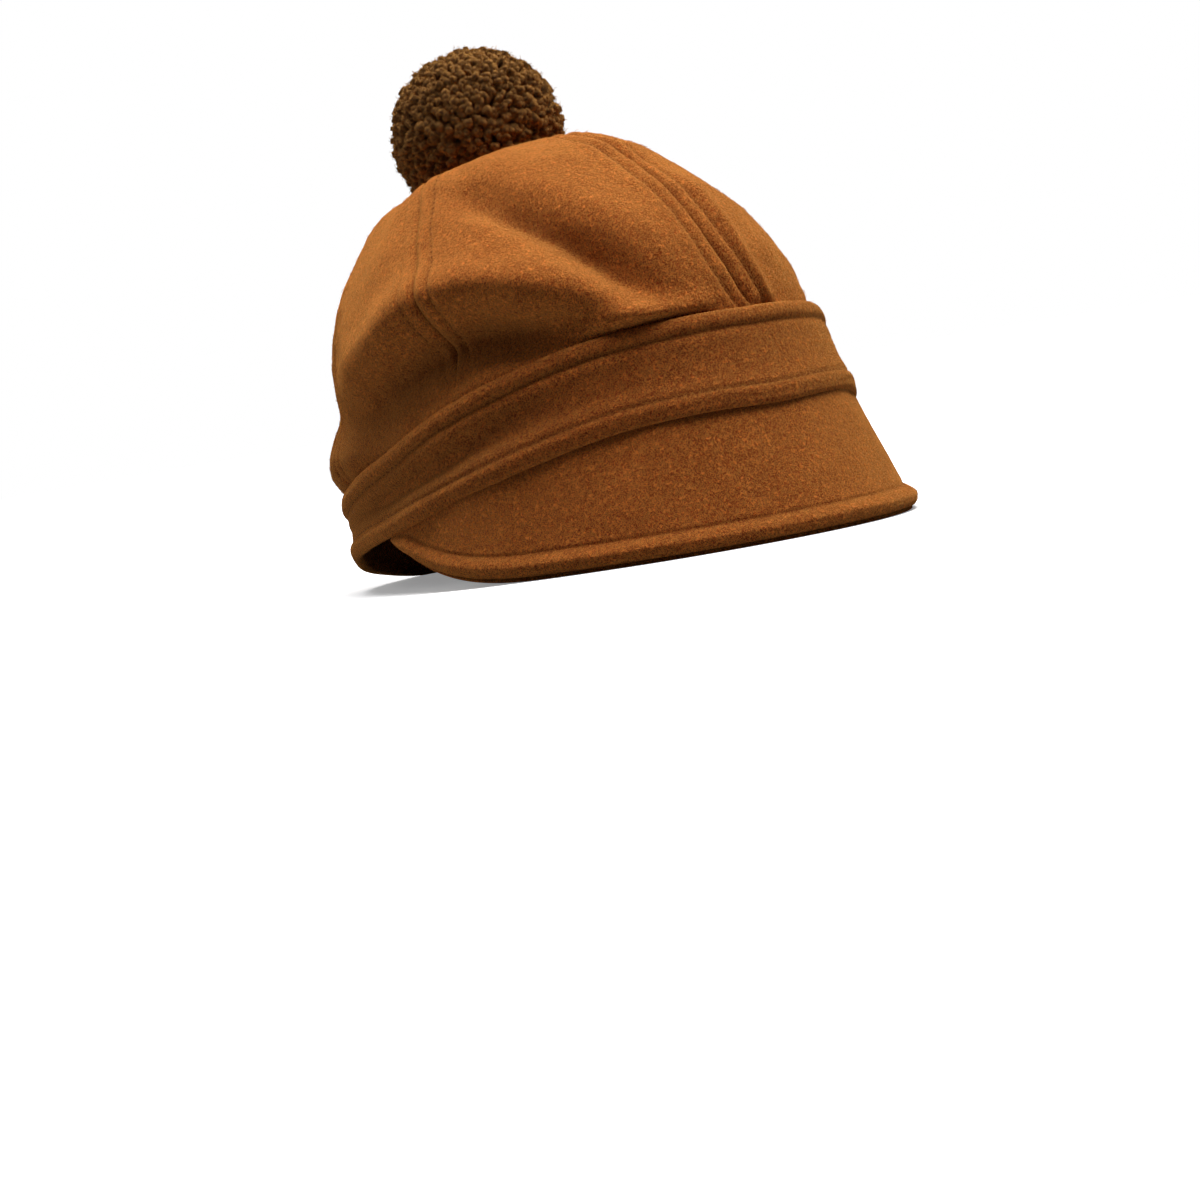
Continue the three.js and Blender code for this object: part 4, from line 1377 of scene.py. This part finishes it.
# %% Fibres of the yarn
FIBRES_A_YARN = 7
FIRST_FIBRE_RING = 3
FUZZ = {"length": (0.5, 1.7), "lift": (0.3, 1.0), "radius": 0.1}
ends = yarn_points.reshape(YARN_ENDS, YARN_RINGS, YARN_SIDES, 3)[:, FIRST_FIBRE_RING:]
chance = np.random.default_rng(34)
ring = chance.integers(0, ends.shape[1], (YARN_ENDS, FIBRES_A_YARN))
spoke = chance.integers(0, YARN_SIDES, (YARN_ENDS, FIBRES_A_YARN))
starts = ends[np.arange(YARN_ENDS)[:, None], ring, spoke].reshape(-1, 3)
outward = unit(unit(starts - POMPOM_CENTRE) + chance.normal(0, 0.5, starts.shape))
points, faces = fibres(
    starts, outward, chance, FUZZ["length"], FUZZ["lift"], FUZZ["radius"], rings=3,
)
make_piece("pompom_fuzz", stand(points), faces, yarn_fibre)

# %% [markdown]
# ## Stitches
#
# The machine stitches lie at the bottom of the pressed lines, three millimetres apart, in a thread
# that matches the cloth. Each one is a small capsule whose ends dip into the wool, so that it reads
# as thread pulled tight through thick cloth rather than as a bead lying on it.

# %% Thread and stitches
STITCH_PITCH = 3.0
STITCH_SHARE = 0.64
THREAD_RADIUS = 0.3
THREAD_SINK = (-0.5, -0.1, 0.0, -0.1, -0.5)
THREAD_SWELL = (0.5, 0.95, 1.0, 0.95, 0.5)
THREAD_DARK = (0.11, 0.027, 0.003, 1)
THREAD_LIGHT = (0.21, 0.058, 0.008, 1)
STITCHES_SHOW_FROM = 0.3


def thread_material():
    """Smooth twisted thread, a little darker than the wool."""
    material = bpy.data.materials.new("thread")
    material.use_nodes = True
    tree = material.node_tree
    shader = tree.nodes["Principled BSDF"]
    place = tree.nodes.new("ShaderNodeTexCoord").outputs["Object"]
    twist = noise(tree, place, 2400, detail=1.0)
    share = window(tree, twist, 0.35, 0.65)
    colour = mix_colours(tree, share, THREAD_DARK, THREAD_LIGHT)
    tree.links.new(colour, shader.inputs["Base Color"])
    shader.inputs["Roughness"].default_value = 0.8
    shader.inputs["Specular IOR Level"].default_value = 0.05
    shader.inputs["Sheen Weight"].default_value = 0.4
    shader.inputs["Sheen Tint"].default_value = (1.0, 0.42, 0.11, 1)
    return material


def stitched_line(line, normals):
    """Centres and normals of the stitches along a line."""
    walked = np.concatenate([[0], np.cumsum(np.linalg.norm(np.diff(line, axis=0), axis=1))])
    count = int(walked[-1] / STITCH_PITCH)
    share = np.linspace(0, STITCH_SHARE, len(THREAD_SINK))
    at = (np.arange(count)[:, None] + 0.15 + share[None, :]) * STITCH_PITCH
    centre = np.stack([np.interp(at, walked, line[:, k]) for k in range(3)], -1)
    normal = unit(np.stack([np.interp(at, walked, normals[:, k]) for k in range(3)], -1))
    return centre + normal * np.array(THREAD_SINK)[None, :, None], normal


def add_stitches(name, lines):
    """All stitches of one cloth as one piece."""
    found = [stitched_line(line, normals) for line, normals in lines]
    centres = np.concatenate([f[0] for f in found])
    normals = np.concatenate([f[1] for f in found])
    along = unit(centres[:, -1:] - centres[:, :1])
    side = unit(np.cross(along, normals))
    radii = THREAD_RADIUS * np.array(THREAD_SWELL)[None, :] * np.ones((len(centres), 1))
    points, faces = tubes(centres, side, normals, radii, np.ones((1, 1, 6)))
    make_piece(name, stand(points), faces, thread)


print("Stitches every", STITCH_PITCH, "mm")

# %% [markdown]
# ## Sewing the seams and the band
#
# Every stitch line is laid on the surface that was already worked out, a little inside it. Where a
# seam hides under a fold its stitches are left out.

# %% Stitches
thread = thread_material()
seam_lines = []
line_up = np.linspace(0.08, 0.93, 260)
for seam in SEAM_STRENGTH:
    for side_of_seam in (-1, 1):
        if abs(seam) == 180 and side_of_seam * seam > 0:
            continue
        weaker = SEAM_REAR_SIDE.get(seam, 1) if side_of_seam > 0 else 1
        shown_up = line_up[weaker * seam_strength(seam, line_up) > STITCHES_SHOW_FROM]
        middle = seam_angle(seam, shown_up)
        width = 60 * millimetres_per_degree(middle, shown_up)
        shrink = np.minimum(1, width / SEAM_FREE_WIDTH)
        away = side_of_seam * STITCH_FROM_SEAM * shrink / millimetres_per_degree(middle, shown_up)
        at_stitch = np.full_like(shown_up, STITCH_FROM_SEAM)
        relief = weaker * shrink * seam_strength(seam, shown_up)
        outer, _, _ = crown_surface(middle + away, shown_up, at_stitch, relief)
        seam_lines.append((outer, crown_normal(middle + away, shown_up)))
add_stitches("crown_stitches", seam_lines)

around = np.linspace(-180, 180, 900)
rim = beside_band(around, 0 * around, 0 * around)
outward = unit(beside_band(around, 1 + 0 * around, 0 * around) - rim)
band_lines = []
for line_height in (band_low(around) + BAND_STITCH["low"], band_top(around) - BAND_STITCH["top"]):
    line_proud = band_proud(around, line_height - band_low(around), band_top(around) - line_height)
    band_lines.append((band_point(around, line_proud, line_height), outward))
add_stitches("band_stitches", band_lines)
